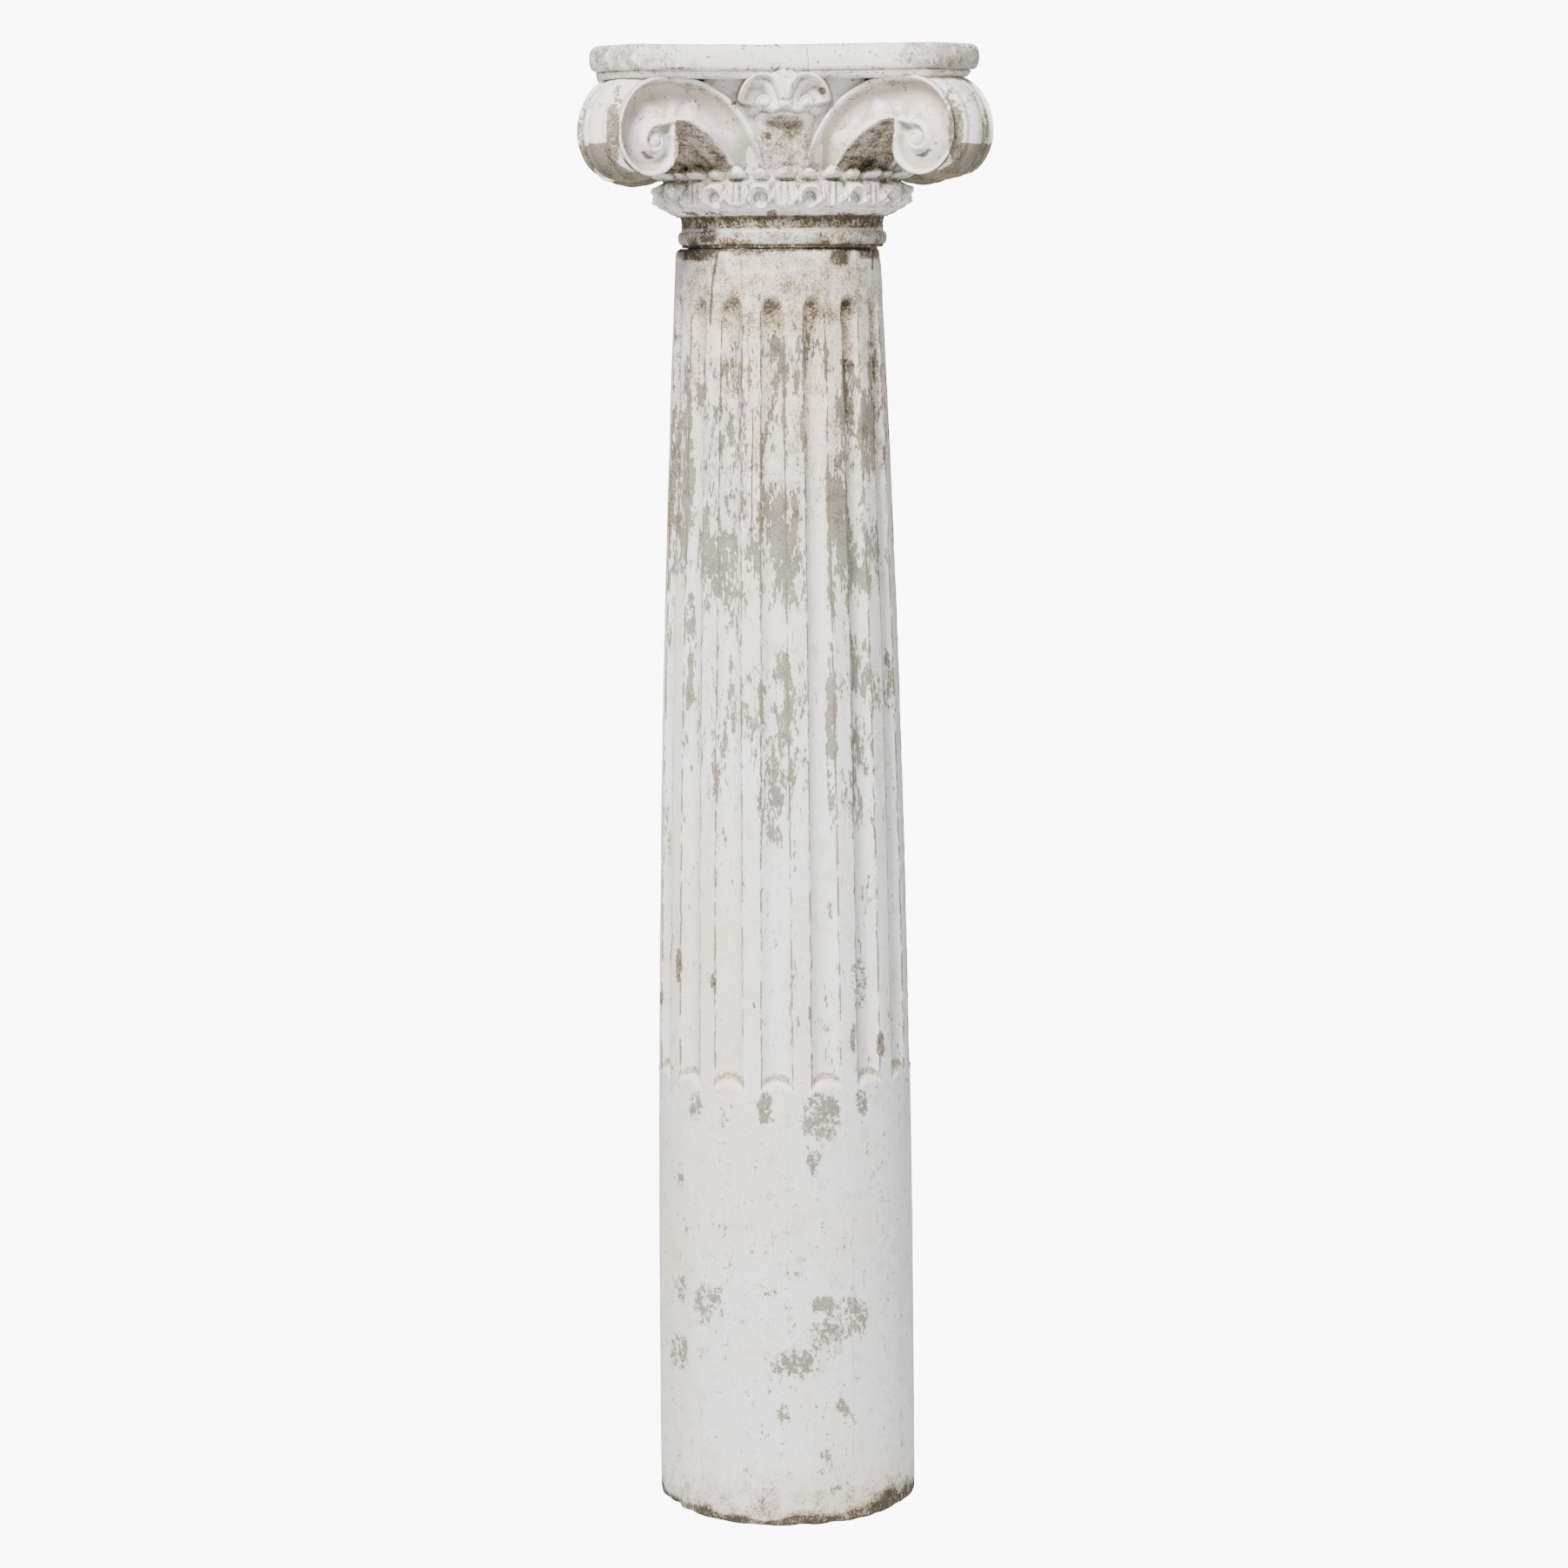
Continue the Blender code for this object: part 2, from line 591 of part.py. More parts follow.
def build_rosette(index):
    """A boss with a dished face, between two leaves."""
    middle = (index + 0.5) * 2.0 * math.pi / LEAF_COUNT
    face = RING_RADIUS + ROSETTE_PROJECTION
    rings = ((ROSETTE_RADIUS, RING_RADIUS - ROSETTE_ROOT), (ROSETTE_RADIUS, face - ROSETTE_EDGE),
             (ROSETTE_DISH_RADIUS, face), (ROSETTE_DISH_FLOOR, face - ROSETTE_DISH_DEPTH))
    outward = around(1.0, middle, 0.0)
    beside = around(1.0, middle + QUARTER, 0.0)
    points = []
    for radius, depth in rings:
        for step in range(ROSETTE_SIDES):
            angle = 2.0 * math.pi * step / ROSETTE_SIDES
            height = ROSETTE_HEIGHT + radius * math.cos(angle)
            points.append(outward * depth + beside * radius * math.sin(angle) + Vector((0.0, 0.0, height)))
    return mesh_object(f"rosette_{index + 1}", *capped_tube(points, len(rings), ROSETTE_SIDES))


def build_bud(side):
    """The scrolled bud at the middle of a side and the stem that it grows from."""
    top = ABACUS_FOOT + BUD_TOP_RISE
    foot = ABACUS_FOOT - BUD_DROP
    front = ABACUS_MIDDLE - BUD_SETBACK
    floor = front - BUD_RECESS
    full = BUD_HALF_WIDTH - BUD_SIDE_INSET
    section = ((-1.0, STEM_ROOT), (-1.0, STEM_EDGE), (0.0, 0.0), (1.0, STEM_EDGE), (1.0, STEM_ROOT))
    rows = ((STEM_FOOT_HALF_WIDTH, RING_RADIUS - STEM_FOOT_INSET, RING_TOP - STEM_EDGE / 2.0),
            (STEM_WAIST_HALF_WIDTH, SCROLL_MIDDLE - STEM_WAIST_INSET, (RING_TOP + foot) / 2.0),
            (STEM_TOP_HALF_WIDTH, SCROLL_MIDDLE - STEM_TOP_INSET, foot),
            (BUD_FOOT_HALF_WIDTH, floor - BUD_SIDE_INSET, foot + BUD_LEDGE),
            (full, floor, foot + BUD_SHOULDER), (full, floor, top - BUD_SHOULDER),
            (BUD_TOP_HALF_WIDTH, floor + BUD_RIM_PROUD, top))
    turn = Matrix.Rotation(side * QUARTER, 3, "Z")
    points = []
    for half, depth, height in rows:
        for share, back in section:
            points.append(turn @ Vector((half * share, back - depth, height)))
    parts = [mesh_object(f"bud_{side + 1}", *capped_tube(points, len(rows), len(section)))]
    for hand in (-1.0, 1.0):
        parts.append(build_bud_rim(side, hand, front, top))
        parts.append(build_bud_eye(side, hand, front))
    return parts


def build_bud_rim(side, hand, front, top):
    """The arched rim of a bud's lobe, from the middle out over the eye and down."""
    turn = Matrix.Rotation(side * QUARTER, 3, "Z")
    eye_height = ABACUS_FOOT - BUD_EYE_DROP
    reach_out = BUD_HALF_WIDTH - BUD_EYE_X
    reach_up = top - BUD_RIM_PROUD - eye_height
    inner = front - BUD_RIM_ROOT
    outer = front + BUD_RIM_PROUD
    section = ((0.0, inner), (0.0, outer), (BUD_RIM_WIDTH, outer), (BUD_RIM_WIDTH, inner))
    points = []
    for step in range(BUD_RIM_STEPS + 1):
        angle = BUD_RIM_START + BUD_RIM_TURN * step / BUD_RIM_STEPS
        for inset, depth in section:
            across = BUD_EYE_X + (reach_out - inset) * math.sin(angle)
            height = eye_height + (reach_up - inset) * math.cos(angle)
            points.append(turn @ Vector((hand * across, -depth, height)))
    name = f"bud_rim_{side + 1}"
    return mesh_object(name, *capped_tube(points, BUD_RIM_STEPS + 1, len(section)))


def build_bud_eye(side, hand, front):
    """The small scroll end inside a lobe."""
    turn = Matrix.Rotation(side * QUARTER, 3, "Z")
    eye_height = ABACUS_FOOT - BUD_EYE_DROP
    rings = ((BUD_EYE_RADIUS, front - BUD_RIM_ROOT), (BUD_EYE_RADIUS, front - BUD_EYE_PROUD / 3.0),
             (BUD_EYE_RADIUS / 2.0, front + BUD_EYE_PROUD))
    points = []
    for radius, depth in rings:
        for step in range(BUD_EYE_SIDES):
            angle = 2.0 * math.pi * step / BUD_EYE_SIDES
            across = hand * BUD_EYE_X + radius * math.sin(angle)
            points.append(turn @ Vector((across, -depth, eye_height + radius * math.cos(angle))))
    return mesh_object(f"bud_eye_{side + 1}", *capped_tube(points, len(rings), BUD_EYE_SIDES))


def build_capital(finish):
    """The whole capital as one solid: the core united with everything that is cast on it."""
    core = build_core(finish)
    cast_on = [build_abacus()]
    cast_on += [build_horn(corner) for corner in range(SIDES)]
    cast_on += [build_leaf(index) for index in range(LEAF_COUNT)]
    cast_on += [build_rosette(index) for index in range(LEAF_COUNT)]
    for side in range(SIDES):
        cast_on += build_bud(side)
    cluster = bpy.data.collections.new("cast_on")
    bpy.context.scene.collection.children.link(cluster)
    for piece in cast_on:
        bpy.context.scene.collection.objects.unlink(piece)
        cluster.objects.link(piece)
        piece.hide_render = True
        piece.display_type = "WIRE"
    union = core.modifiers.new("cast_on", "BOOLEAN")
    union.operation = "UNION"
    union.solver = "EXACT"
    union.operand_type = "COLLECTION"
    union.collection = cluster
    place = bpy.data.objects.new("capital_place", None)
    bpy.context.scene.collection.objects.link(place)
    place.location = (CAPITAL_SHIFT_X, 0.0, CAPITAL_BASE)
    place.rotation_euler = (0.0, 0.0, CAPITAL_TURN)
    for piece in [core] + cast_on:
        piece.parent = place
    return core


def main():
    """Empty the scene and build the column."""
    for old in list(bpy.data.objects):
        bpy.data.objects.remove(old, do_unlink=True)
    painted = material("weathered_paint_on_cast_stone", (0.80, 0.78, 0.74, 1.0), 0.75)
    build_shaft(painted)
    build_capital(painted)


main()
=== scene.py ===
"""A salvaged ionic column: its stop-fluted shaft and its angular capital, in old flaking paint.

Metres, +Z up. The front looks along -Y, and an azimuth grows from the front towards +X.
Places on the front are given as the photograph shows them, in its pixels, and are carried
onto the stone along the camera's own lines of sight.
"""
import math

import bmesh
import bpy
import numpy as np
from mathutils import Matrix, Vector


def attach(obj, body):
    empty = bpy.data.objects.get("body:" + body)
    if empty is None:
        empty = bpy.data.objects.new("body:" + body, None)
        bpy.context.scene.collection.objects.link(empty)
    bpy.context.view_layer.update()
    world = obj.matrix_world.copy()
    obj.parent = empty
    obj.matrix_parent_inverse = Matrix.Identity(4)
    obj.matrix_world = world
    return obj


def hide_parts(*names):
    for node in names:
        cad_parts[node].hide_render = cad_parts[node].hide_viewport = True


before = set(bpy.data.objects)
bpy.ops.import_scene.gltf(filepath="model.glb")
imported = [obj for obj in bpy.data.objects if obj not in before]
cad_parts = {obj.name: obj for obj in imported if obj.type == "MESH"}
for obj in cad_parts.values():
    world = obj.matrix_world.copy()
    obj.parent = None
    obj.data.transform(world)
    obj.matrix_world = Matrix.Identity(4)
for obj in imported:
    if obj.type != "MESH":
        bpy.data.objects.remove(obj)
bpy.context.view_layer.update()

# Shaft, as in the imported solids
SHAFT_HEIGHT = 1.5635
FOOT_RADIUS = 0.1610
NECK_RADIUS = 0.1250
ENTASIS_POWER = 2.2
FOOT_BEVEL = 0.0030
TOP_BEVEL = 0.0038

# Flutes
FLUTE_COUNT = 16
FLUTE_TURN = math.radians(-3.4)
FLUTE_LOW_WIDTH = 0.0380
FLUTE_TOP_WIDTH = 0.0280
FLUTE_DEPTH = 0.0095
FLUTE_LEDGE_HEIGHT = 0.5420
FLUTE_LEDGE_RISE = 0.0075
FLUTE_LEDGE_SLOPE = 0.0085
FLUTE_TOP_CLEARANCE = 0.0545
FLUTE_END_RUN = 0.0120
FLUTE_HOLLOW_POWER = 2.4
FLUTE_COLUMNS = 20
FLUTE_SHARE_OF_COLUMNS = 0.6
FLUTE_CROWDING = 1.25
FILLET_CROWDING = 1.2
SHAFT_ROWS = 298
# How the drum's rows are spread up its height: share of the rows, share of the height
ROW_SPREAD = ((0.055, 0.010), (0.21, 0.332), (0.30, 0.368), (0.82, 0.945), (0.97, 0.985))

# What the flutes' ledges and arrises carry, and the wear of the skin
LIP_DROP = 0.0022
LIP_SPREAD = 0.0045
LIP_RISE = 0.0009
RUST_RISE = 0.0035
RUST_SPREAD = 0.0075
ARRIS_SPREAD = 0.12
BITE_SHARE = 1.6
SKIN_WEAR = 0.0011
SKIN_SEED = 7.0
NIBBLE_DEPTH = 0.0022
FOOT_NIBBLE_HEIGHT = 0.007
TOP_NIBBLE_HEIGHT = 0.006
END_FACE_MIDDLE = 0.05

# Broken edges: azimuth and half width in degrees, inward loss, height of the loss
FOOT_LOSSES = ((-60.0, 26.0, 0.006, 0.012), (7.0, 7.0, 0.004, 0.008), (21.0, 7.0, 0.005, 0.010),
               (62.0, 22.0, 0.003, 0.006), (150.0, 14.0, 0.006, 0.012), (-140.0, 9.0, 0.004, 0.008))
TOP_LOSSES = ((80.0, 17.0, 0.012, 0.020), (-38.0, 5.0, 0.003, 0.008), (170.0, 12.0, 0.004, 0.008))

# Capital: place, astragal, necking and ring
JOINT_GAP = 0.0003
JOINT_BED_INSET = 0.0080
JOINT_BED_DEPTH = 0.0040
CAPITAL_HEIGHT = 0.2362
CAPITAL_SHIFT_X = 0.0055
CAPITAL_TURN = math.radians(1.3)
ASTRAGAL_PROJECTION = 0.0031
ASTRAGAL_FOOT_INSET = 0.0015
ASTRAGAL_FOOT = 0.0035
ASTRAGAL_HEIGHT = 0.0195
NECKING_INSET = 0.0010
NECKING_TOP = 0.0380
NECKING_HOLLOW = 0.0012
RING_FOOT_RISE = 0.0160
RING_PROJECTION = 0.0290
RING_TOP = 0.0865
RING_CORE_INSET = 0.0085
BELL_WAIST_INSET = 0.0320
BELL_WAIST_RISE = 0.0120
BELL_MIDDLE_INSET = 0.0260
BELL_TOP_INSET = 0.0090
BELL_BITE = 0.0132
CORE_COLUMNS = 232
TOOL_MARK = 0.0007

# Ring of leaves and rosettes
LEAF_COUNT = 16
ROSETTE_HEIGHT = 0.0570
ROSETTE_HOLE = 0.0096
HOOD_RADIUS = 0.0130
LEAF_TIP_LOW = 0.0800
RING_BACK = 0.0230
RING_BED_DROP = 0.0060
RING_RELIEF_MOST = 0.0078
ROSETTE_DEPTH = 0.0135
LEAF_TIP_RISE = 0.0105
BACK_TIP_RISE = 0.0070
TIP_GROOVE_PLACE = 0.0165
TIP_NOTCH = 0.0035
TIP_GROOVE_DEPTH = 0.0100
RING_UNDERCUT = 0.0245
RING_UNDERCUT_HEIGHT = 0.0170
HOOD_SWELL = 0.0128
HOOD_LIFT = 0.0022
ROSETTE_SWELL = 0.0040
ROSETTE_SPREAD = 0.0155
HOOD_SPLIT = 0.0016
BACK_TIP_SWELL = 0.0082
BACK_TIP_HEIGHT = 0.0900
BACK_LENS_DEPTH = 0.0070
BACK_LENS_HEIGHT = 0.0785
BLADE_HALF_WIDTH = 0.0150
BLADE_NARROWING = 0.0055
BLADE_TOP = 0.0805
BLADE_SWELL = 0.0044
BLADE_FOLD_PLACE = 0.0042
BLADE_FOLD_DEPTH = 0.0022
BLADE_RIB = 0.0012
BLADE_GAP_DEPTH = 0.0062
LEAF_TIP_SWELL = 0.0140
LEAF_TIP_HEIGHT = 0.0890
LEAF_LENS_DEPTH = 0.0085

# Abacus
ABACUS_HEIGHT = 0.0395
BULLNOSE_HEIGHT = 0.0304
FILLET_HEIGHT = 0.0038
ABACUS_OVERHANG = 0.0404
ABACUS_CORNER_X = 0.1745
ABACUS_CORNER_Y = 0.2310
BULLNOSE_PROJECTION = 0.0090
BULLNOSE_SETBACK = 0.0130
CAVETTO_DEPTH = 0.0090
ABACUS_COLUMNS = 80

# Scroll faces of the corner horns
SCROLL_OVERHANG = 0.0026
SCROLL_TIP_OUT_X = 0.0185
SCROLL_TIP_OUT_Y = 0.0122
EYE_INSET = 0.0458
BUTTON_RADIUS = 0.0056
BUTTON_RISE = 0.0022
DISH_SINK = 0.0062
COIL_RIM_WIDTH = 0.0030
SCROLL_RADIUS = 0.0592
SCROLL_TOP_RADIUS = 0.0750
SCROLL_BITE = 0.0033
SCROLL_FIRST_RATIO = 0.68
SCROLL_FIRST_QUARTERS = 2.0
SCROLL_WHORL_RATIO = 0.76
SCROLL_TURN_STEPS = 14
NOTCH_ANGLE = math.radians(315.0)
NOTCH_BUMP = 0.0105
NOTCH_SPREAD = math.radians(24.0)
RIM_WIDTH = 0.0062
CHANNEL_DEPTH = 0.0175
CHANNEL_SLOPE = 0.50
SECTION_STEPS = 15
ARM_LOWER_RIM = 0.0046
ARM_FOOT_INSET = 0.0100
ARM_FOOT_RUN = 0.0500
ARM_STEPS = 5
ARM_UPPER = ((0.150, -0.020), (0.164, 0.105), (0.192, 0.255), (0.230, 0.390), (0.283, 0.530),
             (0.345, 0.650), (0.425, 0.775), (0.520, 0.880), (0.630, 0.960))
ARM_LOWER = ((0.415, -0.020), (0.500, 0.220), (0.630, 0.425), (0.775, 0.560))
ARM_CREST = (0.800, 1.012)
BAND_PROFILE = ((0.0, 0.0), (0.05, -0.0034), (0.11, -0.0046), (0.19, 0.0020), (0.25, 0.0042),
                (0.33, 0.0034), (0.41, 0.0058), (0.50, 0.0065))
BAND_FADE_STEPS = 3
FINE_STEPS = 8
BAND_ROWS = 34

# Buds and stems
BUD_SETBACK = 0.0070
BUD_TOP_RISE = 0.0098
BUD_DROP = 0.0440
BUD_EYE_X = 0.0257
BUD_EYE_RADIUS = 0.0098
BUD_EYE_DROP = 0.0270
STEM_FOOT_HALF_WIDTH = 0.0340
STEM_FOOT_INSET = 0.0140
WEB_HALF_WIDTH = 0.0980
WEB_PROUD = 0.0008
WEB_SLOPE = 0.20
STEM_WAIST = 0.0040
STEM_RIB_RISE = 0.0016
STEM_LEAN = 0.0155
STEM_SHOULDER = 0.0130
ARM_CLEARANCE = 0.0550
LOBE_HALF_WIDTH = 0.0300
LOBE_DROP = 0.0125
LOBE_DROP_OUTSIDE = 0.0150
BUD_HEART_SIZE = 0.0260
BUD_FACE_SETBACK = 0.0085
BUD_RIM_PLACE = 0.87
BUD_RIM_RISE = 0.0118
BUD_CROWN_RISE = 0.0112
BUD_HOLLOW_X = 0.0330
BUD_HOLLOW_SIZE = (0.0225, 0.0255)
BUD_HOLLOW_DEPTH = 0.0125
BUD_COIL_GROWTH = 0.0021
BUD_COIL_SETBACK = 0.0105
BUD_COIL_LEAN = 0.20
BUD_COIL_LINE = 0.0056
BUD_COIL_LINE_DEPTH = 0.0046
BUD_BUTTON_RISE = 0.0016
BUD_KNOB_SIZE = (0.0088, 0.0076)
BUD_KNOB_SETBACK = 0.0012
BUD_GAP_DROP = 0.0070
BUD_GAP_DEPTH = 0.0085
BUD_REAR_INSET = 0.0750

# Grooves along the horns' undersides: their depth and spacing, and the share of the band they take
SOFFIT_GROOVE = 0.0012
SOFFIT_PITCH = 0.055
SOFFIT_SHARE = 0.165

# Joining, and the softening and wear of the carvings
WELD_DISTANCE = 0.00001
SEAM_DISTANCE = 0.00004
CARVING_SOFTNESS = 0.35
BROAD_WEAR = 0.00050
FINE_WEAR = 0.00030

SHARP_EDGE = math.radians(55.0)
QUARTER = math.pi / 2.0
CAPITAL_BASE = SHAFT_HEIGHT + JOINT_GAP
ABACUS_FOOT = CAPITAL_HEIGHT - ABACUS_HEIGHT
BELL_HEIGHT = ABACUS_FOOT - RING_TOP
RING_RADIUS = NECK_RADIUS + RING_PROJECTION
SCROLL_MIDDLE = RING_RADIUS + SCROLL_OVERHANG
ABACUS_MIDDLE = SCROLL_MIDDLE + ABACUS_OVERHANG
SCROLL_TIP_X = ABACUS_CORNER_X + SCROLL_TIP_OUT_X
SCROLL_TIP_Y = ABACUS_CORNER_Y + SCROLL_TIP_OUT_Y
EYE_X = SCROLL_TIP_X - EYE_INSET
EYE_HEIGHT = ABACUS_FOOT + SCROLL_BITE - SCROLL_TOP_RADIUS
SCROLL_SWEEP = (SCROLL_TIP_Y - SCROLL_MIDDLE) / SCROLL_TIP_X ** 2
ABACUS_SWEEP = (ABACUS_CORNER_Y - ABACUS_MIDDLE) / ABACUS_CORNER_X ** 2

# Camera
CAMERA_PLACE = (0.0025, -4.8, 1.5615)
CAMERA_DOWN = math.radians(7.134)
CAMERA_ROLL = -0.00803
CAMERA_LENS = 89.4
CAMERA_SHIFT = -0.03
SENSOR_WIDTH = 36.0
PHOTO_SIZE = 1803.0

# Light: the room's own, and the glow of the white backdrop and floor as the camera sees them
ROOM_LIGHT = 0.36
BACKDROP_GLOW = 9.5
KEY_LIGHT = {"place": (-1.35, -3.5, 4.6), "size": 1.4, "power": 700.0, "tint": (1.0, 0.98, 0.95)}
FILL_LIGHT = {"place": (2.0, -4.4, 1.9), "size": 2.4, "power": 62.0, "tint": (1.0, 1.0, 1.0)}
LIGHT_TARGET = (0.0, 0.0, 1.1)

# Kinds of socket
VALUE = "NodeSocketFloat"
COUNT = "NodeSocketInt"
PLACE = "NodeSocketVector"
COLOUR = "NodeSocketColor"
SHAPE = "NodeSocketGeometry"
FINISH = "NodeSocketMaterial"

# Colours
STONE_GREY = (0.235, 0.225, 0.185)
STONE_OLIVE = (0.175, 0.170, 0.130)
STONE_PALE = (0.42, 0.40, 0.345)
STONE_DARK = (0.10, 0.092, 0.065)
STONE_GRIT = (0.56, 0.54, 0.48)
STONE_STAIN = (0.17, 0.14, 0.095)
PAINT_COOL = (0.775, 0.79, 0.80)
PAINT_WARM = (0.77, 0.685, 0.555)
PAINT_BRIGHT = (0.85, 0.84, 0.81)
PAINT_DULL = (0.57, 0.545, 0.50)
PAINT_BRUSHED = (0.56, 0.54, 0.50)
PAINT_SPECK = (0.40, 0.365, 0.305)
PAINT_THIN = (0.68, 0.635, 0.545)
# painted highlight on the lifted edges of torn paint
LIFTED_EDGE_HIGHLIGHT = (0.86, 0.84, 0.79)
# Dirt and painted shade share one brown wash, near black at its deepest
DIRT_AND_SHADE_THICK = (0.24, 0.19, 0.125)
DIRT_AND_SHADE_THIN = (0.42, 0.37, 0.29)
DIRT_AND_SHADE_DEEP = (0.038, 0.030, 0.022)
MOSS_DARK = (0.055, 0.046, 0.028)
MOSS_OLIVE = (0.21, 0.19, 0.13)
MOSS_PALE = (0.36, 0.33, 0.25)
ARRIS_FLECK = (0.17, 0.135, 0.095)
RUST_BROWN = (0.29, 0.195, 0.085)
# cream of the ledges, lightened as a painted highlight on their upward slopes
LEDGE_CREAM_AND_HIGHLIGHT = (0.93, 0.85, 0.70)
FILLED_CRACK = (0.46, 0.40, 0.30)
OPEN_CRACK = (0.035, 0.03, 0.022)
HORN_BROWN = (0.20, 0.165, 0.13)
# brown painted shade for the creases, with a little dirt
CREASE_DIRT_AND_SHADE = (0.50, 0.43, 0.34)
OLD_BLUE = (0.22, 0.33, 0.52)
LICHEN_GREY = (0.24, 0.22, 0.17)
CHIP_BROWN = (0.075, 0.045, 0.024)
ABACUS_CRACK = (0.30, 0.24, 0.17)
FLOOR_WHITE = (0.91, 0.91, 0.91)
BLACK = (0.0, 0.0, 0.0)

# Height of the materials' relief
RELIEF_DISTANCE = 0.00055
RELIEF_STRENGTH = 0.9


def ease(value):
    """Ease values from 0 to 1."""
    value = np.clip(value, 0.0, 1.0)
    return value * value * (3.0 - 2.0 * value)


def hump(distance, width):
    """A smooth hump that is 1 at no distance."""
    return np.exp(-(distance / width) ** 2)


def around(radius, azimuth, height):
    """Point at a radius, an azimuth from the front and a height."""
    return Vector((radius * math.sin(azimuth), -radius * math.cos(azimuth), height))


def spline_point(points, share):
    """Point on a smooth curve through a few points, at a share of its way."""
    spans = len(points) - 1
    place = min(max(share, 0.0), 1.0) * spans
    index = min(int(place), spans - 1)
    step = place - index
    marks = (points[max(index - 1, 0)], points[index], points[index + 1],
             points[min(index + 2, spans)])
    result = []
    for before, start, end, after in zip(*marks):
        first = (end - before) * step
        second = (2.0 * before - 5.0 * start + 4.0 * end - after) * step ** 2
        third = (3.0 * start - before - 3.0 * end + after) * step ** 3
        result.append((2.0 * start + first + second + third) / 2.0)
    return result


def add_object(name, data):
    """Put an object with its data in the scene."""
    made = bpy.data.objects.new(name, data)
    bpy.context.scene.collection.objects.link(made)
    return made


def mesh_object(name, points, faces):
    """Make an object from points and faces, with its faces pointing out."""
    mesh = bpy.data.meshes.new(name)
    mesh.from_pydata([tuple(point) for point in points], [], faces)
    work = bmesh.new()
    work.from_mesh(mesh)
    bmesh.ops.remove_doubles(work, verts=work.verts, dist=WELD_DISTANCE)
    bmesh.ops.recalc_face_normals(work, faces=work.faces)
    work.to_mesh(mesh)
    work.free()
    return add_object(name, mesh)


def grid_faces(rows, columns, ring=False):
    """Faces of a grid, whose columns may run all the way round."""
    faces = []
    for row in range(rows - 1):
        for column in range(columns if ring else columns - 1):
            beside = (column + 1) % columns
            faces.append((row * columns + column, row * columns + beside,
                          (row + 1) * columns + beside, (row + 1) * columns + column))
    return faces


def closed_block(name, front, sink):
    """A closed block: a carved front grid, and its rim carried back to a plain rear face."""
    rows, columns = front.shape[:2]
    points = list(front.reshape(-1, 3))
    faces = grid_faces(rows, columns)
    rim = list(range(columns))
    rim += [row * columns + columns - 1 for row in range(1, rows)]
    rim += [(rows - 1) * columns + column for column in range(columns - 2, -1, -1)]
    rim += [row * columns for row in range(rows - 2, 0, -1)]
    first = len(points)
    points += [sink(points[corner]) for corner in rim]
    for index, corner in enumerate(rim):
        beside = (index + 1) % len(rim)
        faces.append((corner, first + index, first + beside, rim[beside]))
    faces.append(tuple(range(first, first + len(rim))))
    return mesh_object(name, points, faces)


def mesh_points(mesh):
    """The mesh's points as an array."""
    flat = np.empty(len(mesh.vertices) * 3)
    mesh.vertices.foreach_get("co", flat)
    return flat.reshape(-1, 3)


def mesh_normals(mesh):
    """The mesh's point normals as an array."""
    flat = np.empty(len(mesh.vertices) * 3)
    mesh.vertex_normals.foreach_get("vector", flat)
    return flat.reshape(-1, 3)


def set_points(mesh, points):
    """Move the mesh's points."""
    mesh.vertices.foreach_set("co", points.astype(np.float32).ravel())
    mesh.update()


def write_field(mesh, name, values):
    """Store one value for each point, for the materials to read."""
    field = mesh.attributes.new(name, "FLOAT", "POINT")
    field.data.foreach_set("value", np.clip(values, 0.0, 1.0).astype(np.float32))


def baked(piece, name):
    """Turn a piece with its modifiers into a plain mesh piece, and remove the old one."""
    graph = bpy.context.evaluated_depsgraph_get()
    mesh = bpy.data.meshes.new_from_object(piece.evaluated_get(graph), depsgraph=graph)
    piece.modifiers.clear()
    bpy.data.objects.remove(piece, do_unlink=True)
    return add_object(name, mesh)


